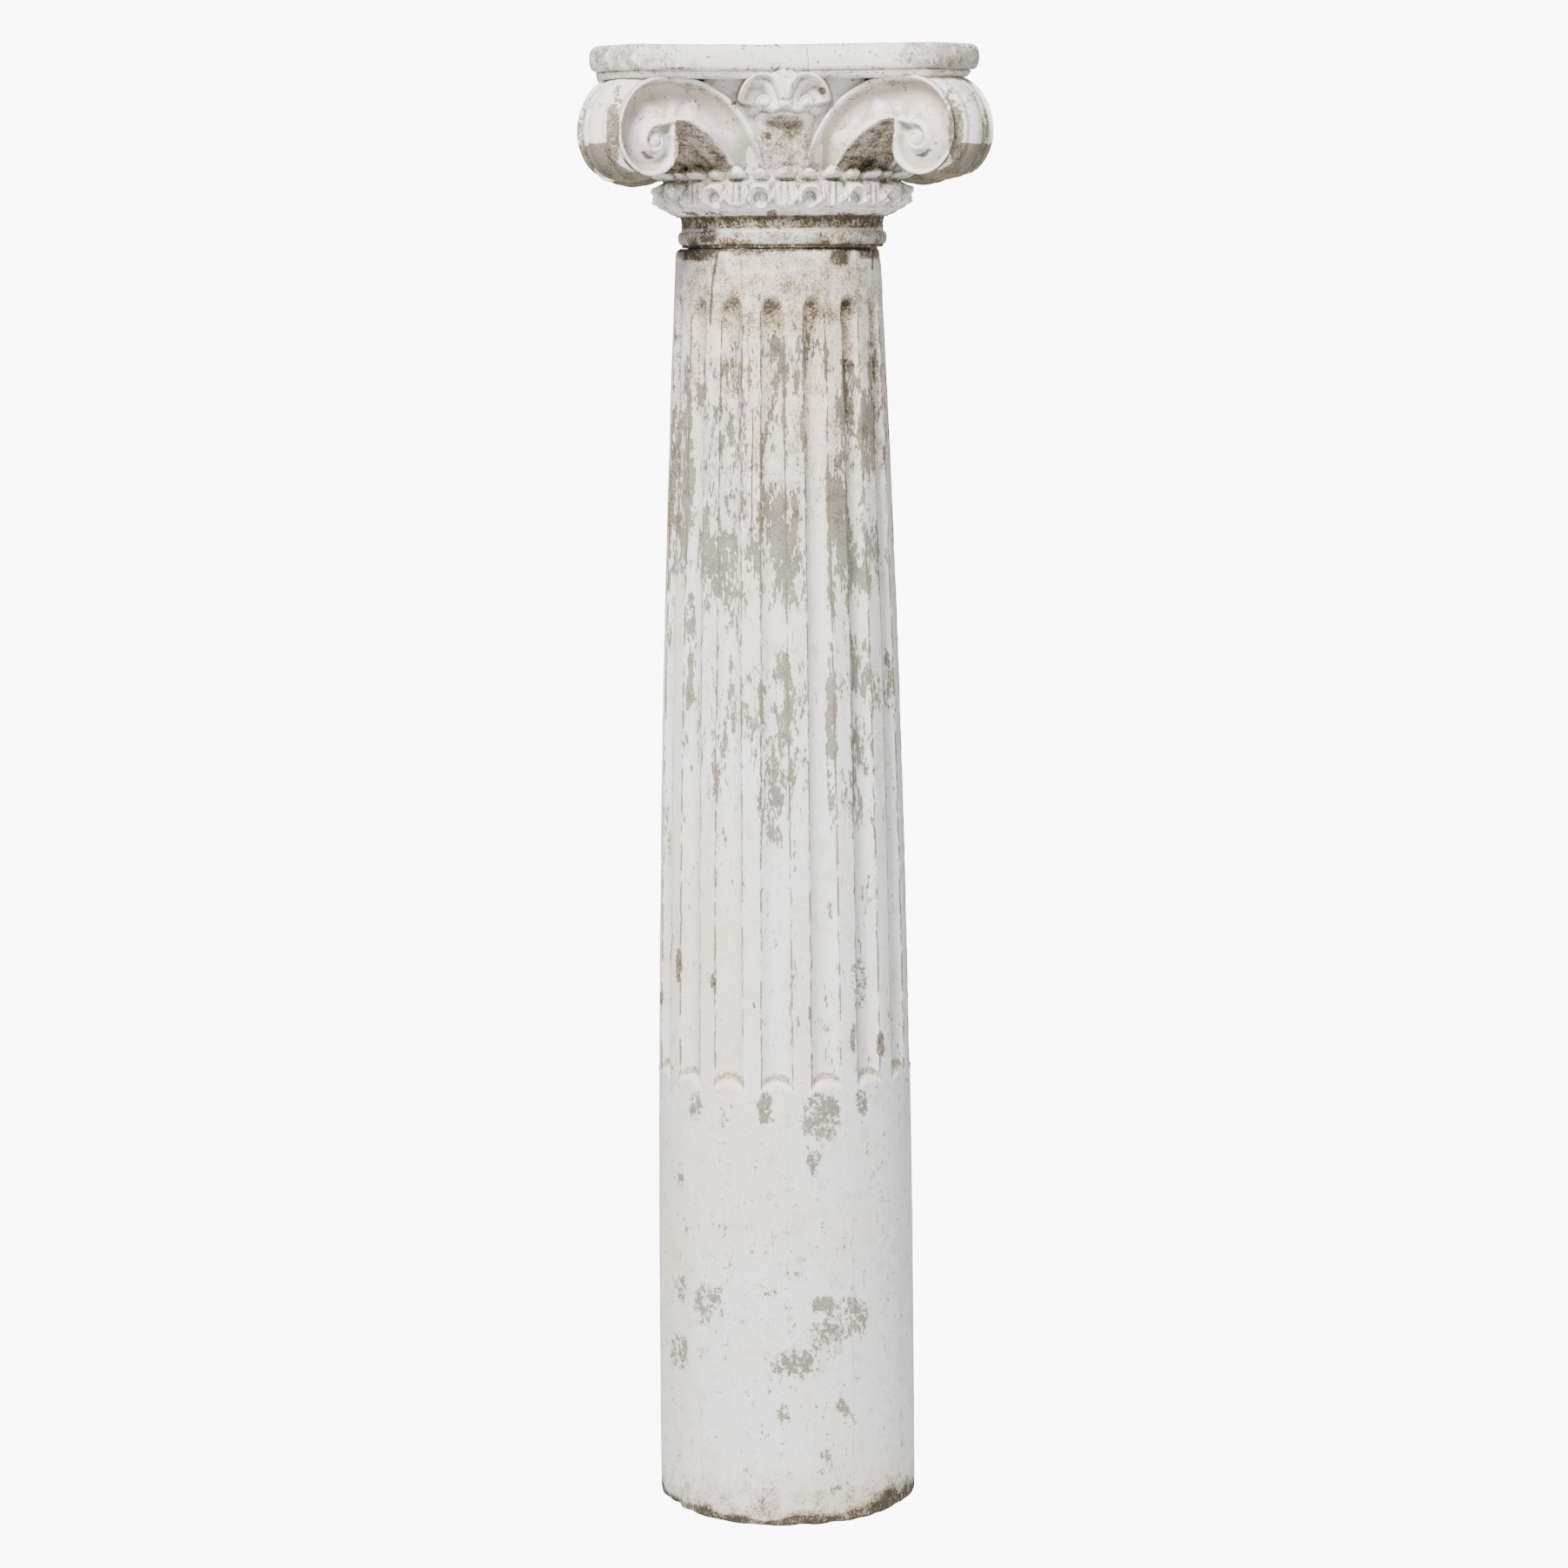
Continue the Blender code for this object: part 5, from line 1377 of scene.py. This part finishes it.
def weather_capital(capital):
    """Where the capital is bare, mossy, dirty or crusted, and where shade is painted in its
    hollows.
    """
    mesh = capital.data
    points = mesh_points(mesh)
    normals = mesh_normals(mesh)
    across, down = side_view(points)
    back = np.array(Matrix.Rotation(-CAPITAL_TURN, 3, "Z"))
    local = (points - np.array((CAPITAL_SHIFT_X, 0.0, CAPITAL_BASE))) @ back.T
    along = np.abs(local[:, :2])
    diagonal = along.sum(axis=1) / math.sqrt(2.0)
    off = np.abs(along[:, 0] - along[:, 1]) / math.sqrt(2.0)
    height = local[:, 2]
    reach = np.hypot(local[:, 0], local[:, 1])
    ragged = 1.8 * wander(points, 110.0, 31) + 1.0 * wander(points, 330.0, 4)
    horn = ease((diagonal - 0.190) / 0.010) * (height < ABACUS_FOOT + 0.002)
    # the lower part of each horn's band is bare, beyond the scroll faces and under them
    bare = horn * outside(across, BAND_EDGES) * ease((down - BARE_TOP + ragged) / 1.2)
    under = horn * ease((-normals[:, 2] - 0.45) / 0.2) * ease((0.0310 - off) / 0.004)
    bare = np.maximum(bare, 0.9 * under * ease((EYE_HEIGHT - height) / 0.01))
    seen_across, seen_down = photo_place(points)
    outer = outside(seen_across, SEEN_BAND_EDGES)
    bare = np.maximum(bare, horn * outer * ease((seen_down - BARE_TOP + ragged) / 1.2))
    flank = np.abs(local[:, 0]) > np.abs(local[:, 1])
    moss = patches(across, down, CAPITAL_MOSS, 0.35) * horn * np.where(flank, 0.6, 1.0)
    # the bell's recess between each side's arms: brown-grey dirt and painted shade, with level
    # streaks
    aside = np.abs(across - PHOTO_MIDDLE)
    rim_down = np.interp(aside, *zip(*LOWER_RIM_MARKS))
    near, far = RECESS_REACH
    recess = ease((aside - near) / 3.0) * ease((far - aside) / 3.0)
    recess *= ease((down - rim_down - 1.0) / 3.0)
    recess *= (reach < 0.235) * ease((height - 0.086) / 0.005)
    necking = ease((height - 0.0205) / 0.003) * ease((0.0400 - height) / 0.003)
    necking *= reach < 0.150
    bead = ease((0.0205 - height) / 0.002)
    joint = ease((0.0055 - height) / 0.004)
    # dirt patches, with the painted shadow under each bud and down its stem
    grime_and_shade = patches(across, down, CAPITAL_DIRT_AND_SHADE)
    streaks = ease(np.sin(height * 900.0 + 3.0 * wander(points, 70.0, 9)))
    grime_and_shade = np.maximum(grime_and_shade, (0.78 - 0.10 * streaks) * recess)
    # painted shade on the fillet under the bullnose
    fillet = ease((CAPITAL_HEIGHT - BULLNOSE_HEIGHT + 0.0012 - height) / 0.002)
    fillet *= ease((height - ABACUS_FOOT + 0.001) / 0.002)
    grime_and_shade = np.maximum(grime_and_shade, 0.20 * fillet)
    # the necking: brown stain, with painted shade under the ring's overhang that is darkest just
    # below it; dirt on the astragal and the dark joint at the foot
    dark = 0.86 + 0.06 * hump(height - 0.036, 0.005)
    grime_and_shade = np.maximum(grime_and_shade, dark * necking + 0.58 * bead + 0.8 * joint)
    # painted shade in the hollows of the ring, between its leaves and rosettes
    sunk = ease((RING_RADIUS + 0.0010 - reach) / 0.0070) * ease((height - 0.050) / 0.006)
    sunk *= reach > 0.130
    grime_and_shade = np.maximum(grime_and_shade, 0.46 * sunk * (height < 0.098))
    # faces that look down are darkened: painted shade, with some dirt
    soffit = ease((-normals[:, 2] - 0.4) / 0.4)
    grime_and_shade = np.maximum(grime_and_shade, 0.34 * soffit)
    corner = ease((diagonal - 0.225) / 0.03) * ease((height - 0.199) / 0.004)
    lichen = np.maximum(patches(across, down, CAPITAL_LICHEN), 0.55 * corner)
    flat_top = ease((normals[:, 2] - 0.8) / 0.15) * (height > CAPITAL_HEIGHT - 0.004)
    lichen = np.maximum(lichen, 0.75 * flat_top)
    curve = points - smoothed(mesh, points, 2, 0.8)
    crease = np.clip(-(curve * normals).sum(axis=1) / 0.00022, -1.0, 1.0)
    crease = smoothed(mesh, crease, 2, 0.6)
    write_field(mesh, "flake", 0.04 + 0.10 * lichen)
    write_field(mesh, "bare", bare)
    write_field(mesh, "chips", patches(across, down, CAPITAL_CHIPS, 0.3))
    write_field(mesh, "moss", moss)
    write_field(mesh, "grime_and_shade", grime_and_shade)
    write_field(mesh, "lichen", lichen)
    write_field(mesh, "crease", crease)
    write_field(mesh, "blue", patches(across, down, CAPITAL_BLUE, 0.5))


def shader_group(name, inputs, outputs):
    """An empty shader group with named sockets: its graph, its inputs and its outputs."""
    tree = bpy.data.node_groups.new(name, "ShaderNodeTree")
    add_sockets(tree, inputs, "INPUT")
    add_sockets(tree, outputs, "OUTPUT")
    nodes = tree.nodes
    return Graph(tree), nodes.new("NodeGroupInput").outputs, nodes.new("NodeGroupOutput").inputs


def use_group(g, tree, values):
    """Place a group in a material with its own values, and give its outputs."""
    return g.node("ShaderNodeGroup", values, node_tree=tree).outputs


def paint_loss_group():
    """Torn edges of old paint: how far it is lost, its lifted edge, the film left, and its wear."""
    inputs = (("Vector", PLACE), ("Density", VALUE, 0.0), ("Streak", VALUE, 1.0),
              ("Scale", VALUE, 1.0))
    outputs = (("Loss", VALUE), ("Edge", VALUE), ("Film", VALUE), ("Thin", VALUE))
    g, sizes, end = shader_group("paint_loss", inputs, outputs)
    scale = sizes["Scale"]
    drawn = g.vector(X=scale, Y=scale, Z=g.over(scale, sizes["Streak"]))
    spot = g.stretch(sizes["Vector"], drawn)
    field = g.add(g.swing(spot, 30.0, 0.80, 3.0, 0.62), g.swing(spot, 110.0, 0.90, 3.0, 0.60))
    fine = g.swing(spot, 360.0, 0.78, 3.0, 0.65)
    field = g.add(field, fine)
    level = g.add(field, g.times(g.less(sizes["Density"], 0.5), 0.52))
    loss = g.ramp(level, -0.010, 0.010)
    g.feed(end["Loss"], loss)
    g.feed(end["Edge"], g.ramp(g.size(g.add(level, 0.016)), 0.034, 0.0))
    g.feed(end["Film"], g.less(1.0, loss))
    g.feed(end["Thin"], g.ramp(g.add(level, g.less(0.075, g.times(fine, 1.6))), -0.006, 0.012))
    return g.tree


def old_stone_group():
    """Weathered cast stone: grey and olive, with pale and dark grains."""
    g, sizes, end = shader_group("old_stone", (("Vector", PLACE), ("Stain", VALUE, 0.0)),
                                 (("Colour", COLOUR), ("Grain", VALUE)))
    broad = g.noise(sizes["Vector"], 34.0, 4.0)
    fine = g.noise(sizes["Vector"], 620.0, 3.0, 0.7)
    grit = g.noise(sizes["Vector"], 1500.0, 2.0, 0.6)
    colour = g.mix(g.ramp(broad, 0.38, 0.62), STONE_GREY, STONE_OLIVE)
    colour = g.mix(g.times(g.ramp(fine, 0.53, 0.64), 0.75), colour, STONE_PALE)
    colour = g.mix(g.times(g.ramp(fine, 0.46, 0.36), 0.65), colour, STONE_DARK)
    colour = g.mix(g.times(g.ramp(grit, 0.57, 0.65), 0.5), colour, STONE_GRIT)
    colour = g.mix(g.times(sizes["Stain"], 0.6), colour, STONE_STAIN)
    g.feed(end["Colour"], colour)
    g.feed(end["Grain"], g.add(g.times(fine, 0.6), g.times(grit, 0.4)))
    return g.tree


def chalky_paint_group():
    """Old white paint: cool on top, warm cream where it is thin, with brush lines and specks."""
    g, sizes, end = shader_group("chalky_paint", (
        ("Vector", PLACE), ("Warm", VALUE, 0.0), ("Brush", VALUE, 1.0)),
                                 (("Colour", COLOUR), ("Grain", VALUE)))
    broad = g.noise(sizes["Vector"], 9.0, 2.0, 0.55)
    cloud = g.noise(sizes["Vector"], 42.0, 4.0, 0.6)
    warmth = g.math("ADD", sizes["Warm"], g.times(g.ramp(broad, 0.46, 0.70), 0.30), clamp=True)
    colour = g.mix(warmth, PAINT_COOL, PAINT_WARM)
    colour = g.mix(g.times(g.ramp(cloud, 0.55, 0.75), 0.5), colour, PAINT_BRIGHT)
    colour = g.mix(g.times(g.ramp(cloud, 0.46, 0.30), 0.6), colour, PAINT_DULL)
    lines = g.noise(g.stretch(sizes["Vector"], (1.0, 1.0, 0.04)), 520.0, 2.0, 0.5)
    brushed = g.times(g.ramp(lines, 0.53, 0.66), sizes["Brush"])
    colour = g.mix(g.times(brushed, 0.42), colour, PAINT_BRUSHED)
    speck = g.noise(sizes["Vector"], 760.0, 3.0, 0.65)
    colour = g.mix(g.times(g.ramp(speck, 0.625, 0.68), 0.60), colour, PAINT_SPECK)
    g.feed(end["Colour"], colour)
    g.feed(end["Grain"], g.add(g.times(lines, g.times(sizes["Brush"], 0.5)), g.times(speck, 0.5)))
    return g.tree


def dirt_and_shade_wash_group():
    """Brown dirt and painted shade washed over a colour, broken up where it has run off."""
    g, sizes, end = shader_group("dirt_and_shade_wash", (
        ("Vector", PLACE), ("Colour", COLOUR), ("Grime", VALUE, 0.0)), (("Colour", COLOUR),))
    fine = g.noise(sizes["Vector"], 380.0, 3.0, 0.65)
    broken = g.add(g.swing(sizes["Vector"], 55.0, 1.0, 4.0, 0.65), g.times(g.less(fine, 0.5), 1.1))
    film = g.ramp(g.add(broken, sizes["Grime"]), 0.08, 0.80)
    tint = g.mix(g.ramp(broken, 0.25, -0.25), DIRT_AND_SHADE_THICK, DIRT_AND_SHADE_THIN)
    soiled = g.mix(1.0, sizes["Colour"], tint, "MULTIPLY")
    colour = g.mix(film, sizes["Colour"], soiled)
    # near black where the field runs highest: at the joints, the broken foot and the darkest
    # patches, and as painted shade in the recess and under the ring
    deep = g.ramp(g.add(sizes["Grime"], g.times(broken, 1.2)), 0.74, 0.98)
    colour = g.mix(g.times(deep, 0.90), colour, DIRT_AND_SHADE_DEEP)
    g.feed(end["Colour"], colour)
    return g.tree


def moss_crust_group():
    """Dry moss and lichen in a hollow: olive, black and pale crumbs."""
    g, sizes, end = shader_group("moss_crust", (
        ("Vector", PLACE), ("Colour", COLOUR), ("Moss", VALUE, 0.0)),
                                 (("Colour", COLOUR), ("Height", VALUE)))
    crumbs = g.noise(sizes["Vector"], 330.0, 4.0, 0.7)
    clump = g.noise(sizes["Vector"], 95.0, 3.0, 0.6)
    level = g.add(g.times(g.less(crumbs, 0.5), 1.3), g.times(g.less(clump, 0.5), 1.1))
    level = g.add(level, g.times(g.less(sizes["Moss"], 0.48), 0.6))
    grown = g.ramp(level, -0.03, 0.03)
    colour = g.mix(g.ramp(crumbs, 0.42, 0.60), MOSS_DARK, MOSS_OLIVE)
    colour = g.mix(g.times(g.ramp(clump, 0.52, 0.64), 0.4), colour, MOSS_PALE)
    g.feed(end["Colour"], g.mix(g.times(grown, 0.92), sizes["Colour"], colour))
    g.feed(end["Height"], g.times(grown, crumbs))
    return g.tree


def hairline_group():
    """A fine crack on the front, between two places given by X and Z."""
    g, sizes, end = shader_group("hairline", (
        ("Vector", PLACE), ("Start", PLACE), ("End", PLACE), ("Width", VALUE, 0.001),
        ("Waver", VALUE, 0.0)), (("Line", VALUE),))
    here, start = g.parts(sizes["Vector"]), g.parts(sizes["Start"])
    end_spot = g.parts(sizes["End"])
    x = g.add(here["X"], sizes["Waver"])
    z = g.add(here["Z"], g.times(sizes["Waver"], 0.6))
    run_x, run_z = g.less(end_spot["X"], start["X"]), g.less(end_spot["Z"], start["Z"])
    squared = g.add(g.times(run_x, run_x), g.times(run_z, run_z))
    from_x, from_z = g.less(x, start["X"]), g.less(z, start["Z"])
    passed = g.add(g.times(from_x, run_x), g.times(from_z, run_z))
    share = g.math("DIVIDE", passed, squared, clamp=True)
    off_x, off_z = g.less(from_x, g.times(share, run_x)), g.less(from_z, g.times(share, run_z))
    away = g.math("SQRT", g.add(g.times(off_x, off_x), g.times(off_z, off_z)))
    line = g.ramp(away, sizes["Width"], 0.0)
    g.feed(end["Line"], g.times(line, g.math("LESS_THAN", here["Y"], 0.0)))
    return g.tree


def start_material(name, roughness):
    """A matt material with its graph, its shader and the object's own coordinates."""
    made = bpy.data.materials.new(name)
    made.use_nodes = True
    shader = made.node_tree.nodes["Principled BSDF"]
    shader.inputs["Roughness"].default_value = roughness
    shader.inputs["Specular IOR Level"].default_value = 0.32
    g = Graph(made.node_tree)
    return made, g, shader, g.node("ShaderNodeTexCoord").outputs["Object"]


def field_of(g, name):
    """A value that was stored on the piece's points."""
    return g.node("ShaderNodeAttribute", attribute_name=name).outputs["Fac"]


def draw_hairlines(g, tree, place, lines):
    """All the cracks of a piece as one mask. A line is start, end, width and waver."""
    total = None
    sway = g.less(g.noise(place, 75.0, 3.0, 0.65), 0.5)
    for start, end, width, waver in lines:
        line = use_group(g, tree, {"Vector": place, "Start": start, "End": end, "Width": width,
                                   "Waver": g.times(sway, waver)})["Line"]
        total = line if total is None else g.math("MAXIMUM", total, line)
    return total


def set_relief(g, shader, height):
    """Feed a height to the shader's normal."""
    bump = g.node("ShaderNodeBump", {"Height": height, "Distance": RELIEF_DISTANCE,
                                     "Strength": RELIEF_STRENGTH})
    g.feed(shader.inputs["Normal"], bump.outputs["Normal"])


def shaft_line(first, second, width, waver):
    """A hairline of the shaft between two pixels of the photograph."""
    ends = []
    for across, down in (first, second):
        share = (PHOTO_FOOT - down) / (PHOTO_FOOT - PHOTO_NECK)
        radius = FOOT_RADIUS - (FOOT_RADIUS - NECK_RADIUS) * share ** ENTASIS_POWER
        ends.append(photo_spot(across, down, radius))
    return ends[0], ends[1], width, waver


def shaft_finish(groups):
    """Flaking white paint over grey cast stone, streaked down the flutes."""
    made, g, shader, place = start_material("flaking_paint_on_shaft", 0.86)
    warm, grime_and_shade, arris = field_of(g, "warm"), field_of(g, "grime_and_shade"), field_of(g, "arris")
    flake = g.add(field_of(g, "flake"), g.times(arris, 0.16))
    paint = use_group(g, groups["paint"], {"Vector": place, "Warm": warm, "Brush": 0.75})
    stone = use_group(g, groups["stone"], {"Vector": place, "Stain": grime_and_shade})
    fluted = g.math("GREATER_THAN", g.parts(place)["Z"], FLUTE_LEDGE_HEIGHT - 0.004)
    streak, scale = g.add(1.25, g.times(fluted, 2.35)), g.less(1.75, g.times(fluted, 0.65))
    torn = use_group(g, groups["loss"], {"Vector": place, "Density": flake, "Streak": streak,
                                         "Scale": scale})
    colour = g.mix(g.times(torn["Thin"], 0.45), paint["Colour"], PAINT_THIN)
    # painted highlight along the lifted edges of the torn paint
    colour = g.mix(g.times(torn["Edge"], 0.35), colour, LIFTED_EDGE_HIGHLIGHT)
    colour = g.mix(torn["Loss"], colour, stone["Colour"])
    flecks = g.swing(g.stretch(place, (1.0, 1.0, 0.16)), 260.0, 1.6, 3.0, 0.65)
    flecks = g.add(flecks, g.times(arris, 0.30))
    flecks = g.times(g.ramp(flecks, 0.16, 0.28), g.ramp(arris, 0.45, 0.85))
    colour = g.mix(g.times(flecks, 0.92), colour, ARRIS_FLECK)
    ledge = field_of(g, "ledge")
    crumbs = g.ramp(g.noise(place, 340.0, 3.0, 0.7), 0.50, 0.60)
    rust = g.times(field_of(g, "rust"), g.add(0.45, g.times(crumbs, 0.95)))
    colour = g.mix(g.math("MINIMUM", g.times(rust, 1.3), 0.95), colour, RUST_BROWN)
    # the ledges' upward slopes: cream paint, lightened further as a painted highlight
    colour = g.mix(g.times(ledge, 0.90), colour, LEDGE_CREAM_AND_HIGHLIGHT)
    # dirt, and the painted shade of the flutes' tops, washed over the paint
    wash = use_group(g, groups["grime_and_shade"], {"Vector": place, "Colour": colour, "Grime": grime_and_shade})
    crust = use_group(g, groups["moss"], {"Vector": place, "Colour": wash["Colour"],
                                          "Moss": field_of(g, "spots")})
    dark, pale = [draw_hairlines(g, groups["line"], place, [shaft_line(*crack) for crack in cracks])
                  for cracks in (OPEN_CRACKS, FILLED_CRACKS)]
    colour = g.mix(g.times(pale, 0.5), crust["Colour"], FILLED_CRACK)
    colour = g.mix(g.times(dark, 0.9), colour, OPEN_CRACK)
    g.feed(shader.inputs["Base Color"], colour)
    g.feed(shader.inputs["Roughness"], g.add(0.80, g.times(torn["Loss"], 0.14)))
    height = g.add(g.times(torn["Film"], 0.9), g.times(stone["Grain"], g.times(torn["Loss"], 0.8)))
    height = g.add(height, g.times(paint["Grain"], 0.35))
    height = g.less(height, g.times(dark, 3.0))
    set_relief(g, shader, height)
    return made


def capital_finish(groups):
    """Chalky paint on the carving: moss, dirt and painted shade in hollows, bare stone low on
    horns.
    """
    made, g, shader, place = start_material("chalky_paint_on_capital", 0.86)
    grime_and_shade, bare, lichen = field_of(g, "grime_and_shade"), field_of(g, "bare"), field_of(g, "lichen")
    crease = field_of(g, "crease")
    paint = use_group(g, groups["paint"], {"Vector": place, "Warm": 0.22, "Brush": 0.30})
    stone = use_group(g, groups["stone"], {"Vector": place, "Stain": g.times(grime_and_shade, 0.6)})
    density = g.add(field_of(g, "flake"), g.times(lichen, 0.12))
    torn = use_group(g, groups["loss"], {"Vector": place, "Density": density, "Streak": 1.2,
                                         "Scale": 1.5})
    gone = g.math("MAXIMUM", torn["Loss"], g.ramp(bare, 0.42, 0.58))
    bared = g.mix(0.80, stone["Colour"], HORN_BROWN)
    colour = g.mix(gone, paint["Colour"], bared)
    # painted shade in the creases, brown, with a little dirt
    crease_dirt_and_shade = g.times(g.ramp(crease, 0.10, 0.80), 0.75)
    colour = g.mix(crease_dirt_and_shade, colour, g.mix(1.0, colour, CREASE_DIRT_AND_SHADE, "MULTIPLY"))
    blue = g.times(field_of(g, "blue"), g.ramp(g.noise(place, 260.0, 3.0), 0.45, 0.55))
    colour = g.mix(blue, colour, OLD_BLUE)
    speckle = g.add(g.swing(place, 900.0, 1.0, 3.0, 0.7), g.swing(place, 90.0, 0.9, 3.0))
    crusted = g.ramp(g.add(speckle, g.times(g.less(lichen, 0.62), 0.45)), -0.03, 0.10)
    colour = g.mix(g.times(crusted, 0.72), colour, LICHEN_GREY)
    wash = use_group(g, groups["grime_and_shade"], {"Vector": place, "Colour": colour, "Grime": grime_and_shade})
    crust = use_group(g, groups["moss"], {"Vector": place, "Colour": wash["Colour"],
                                          "Moss": field_of(g, "moss")})
    chips = g.ramp(g.add(field_of(g, "chips"), g.swing(place, 240.0, 3.4, 3.0, 0.65)), 0.56, 0.66)
    first, second, width, waver = CAPITAL_CRACK
    ends = [photo_spot(*spot, ABACUS_MIDDLE) for spot in (first, second)]
    crack = draw_hairlines(g, groups["line"], place, ((*ends, width, waver),))
    colour = g.mix(g.times(chips, 0.9), crust["Colour"], CHIP_BROWN)
    colour = g.mix(g.times(crack, 0.7), colour, ABACUS_CRACK)
    g.feed(shader.inputs["Base Color"], colour)
    g.feed(shader.inputs["Roughness"], g.add(0.80, g.times(gone, 0.14)))
    height = g.add(g.times(g.less(1.0, gone), 0.8), g.times(stone["Grain"], g.times(gone, 0.9)))
    height = g.add(height, g.times(paint["Grain"], 0.40))
    height = g.add(height, g.add(g.times(crust["Height"], 2.2), g.times(crusted, 0.3)))
    height = g.less(height, g.add(g.times(chips, 1.6), g.times(crack, 1.2)))
    set_relief(g, shader, height)
    return made


def build_floor():
    """A plain pale floor."""
    corners = [(-9.0, -7.0, 0.0), (9.0, -7.0, 0.0), (9.0, 11.0, 0.0), (-9.0, 11.0, 0.0)]
    floor = mesh_object("floor", corners, [(0, 1, 2, 3)])
    made, g, shader, _ = start_material("pale_floor", 0.9)
    seen = g.node("ShaderNodeLightPath").outputs["Is Camera Ray"]
    g.feed(shader.inputs["Base Color"], g.mix(seen, FLOOR_WHITE, BLACK))
    shader.inputs["Specular IOR Level"].default_value = 0.0
    shader.inputs["Emission Color"].default_value = (1.0, 1.0, 1.0, 1.0)
    g.feed(shader.inputs["Emission Strength"], g.times(seen, BACKDROP_GLOW))
    floor.data.materials.append(made)


def add_light(name, place, size, power, tint):
    """A soft square light that looks at the column."""
    light = bpy.data.lights.new(name, "AREA")
    light.energy = power
    light.size = size
    light.color = tint
    made = add_object(name, light)
    made.location = place
    made.rotation_euler = (Vector(LIGHT_TARGET) - Vector(place)).to_track_quat("-Z", "Y").to_euler()


def light_studio():
    """Pale room light, a large soft light from the front left, and a weak one from the right."""
    world = bpy.data.worlds.new("pale_room")
    world.use_nodes = True
    sky = world.node_tree.nodes["Background"]
    sky.inputs["Color"].default_value = (1.0, 1.0, 1.0, 1.0)
    bpy.context.scene.world = world
    g = Graph(world.node_tree)
    seen = g.node("ShaderNodeLightPath").outputs["Is Camera Ray"]
    g.feed(sky.inputs["Strength"], g.add(ROOM_LIGHT, g.times(seen, BACKDROP_GLOW - ROOM_LIGHT)))
    add_light("key", **KEY_LIGHT)
    add_light("fill", **FILL_LIGHT)


def place_camera():
    """The photograph's view: from standing height, tipped a little down."""
    lens = bpy.data.cameras.new("camera")
    lens.lens = CAMERA_LENS
    lens.sensor_width = SENSOR_WIDTH
    lens.shift_y = CAMERA_SHIFT
    camera = add_object("camera", lens)
    camera.location = CAMERA_PLACE
    camera.rotation_euler = camera_turn().to_euler()
    bpy.context.scene.camera = camera


def dress(piece, node):
    """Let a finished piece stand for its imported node."""
    piece.data.shade_smooth()
    piece.data.set_sharp_from_angle(angle=SHARP_EDGE)
    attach(piece, "root")
    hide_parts(node)


def main():
    """Build the column round its frame, with its floor, lights and camera."""
    place_camera()
    groups = {"loss": paint_loss_group(), "stone": old_stone_group(), "paint": chalky_paint_group(),
              "grime_and_shade": dirt_and_shade_wash_group(), "moss": moss_crust_group(), "line": hairline_group()}
    shaft = build_shaft(shaft_finish(groups))
    weather_shaft(shaft)
    dress(shaft, "shaft")
    for carving in build_capital(capital_finish(groups)):
        weather_capital(carving)
        dress(carving, "capital")
    build_floor()
    light_studio()


main()
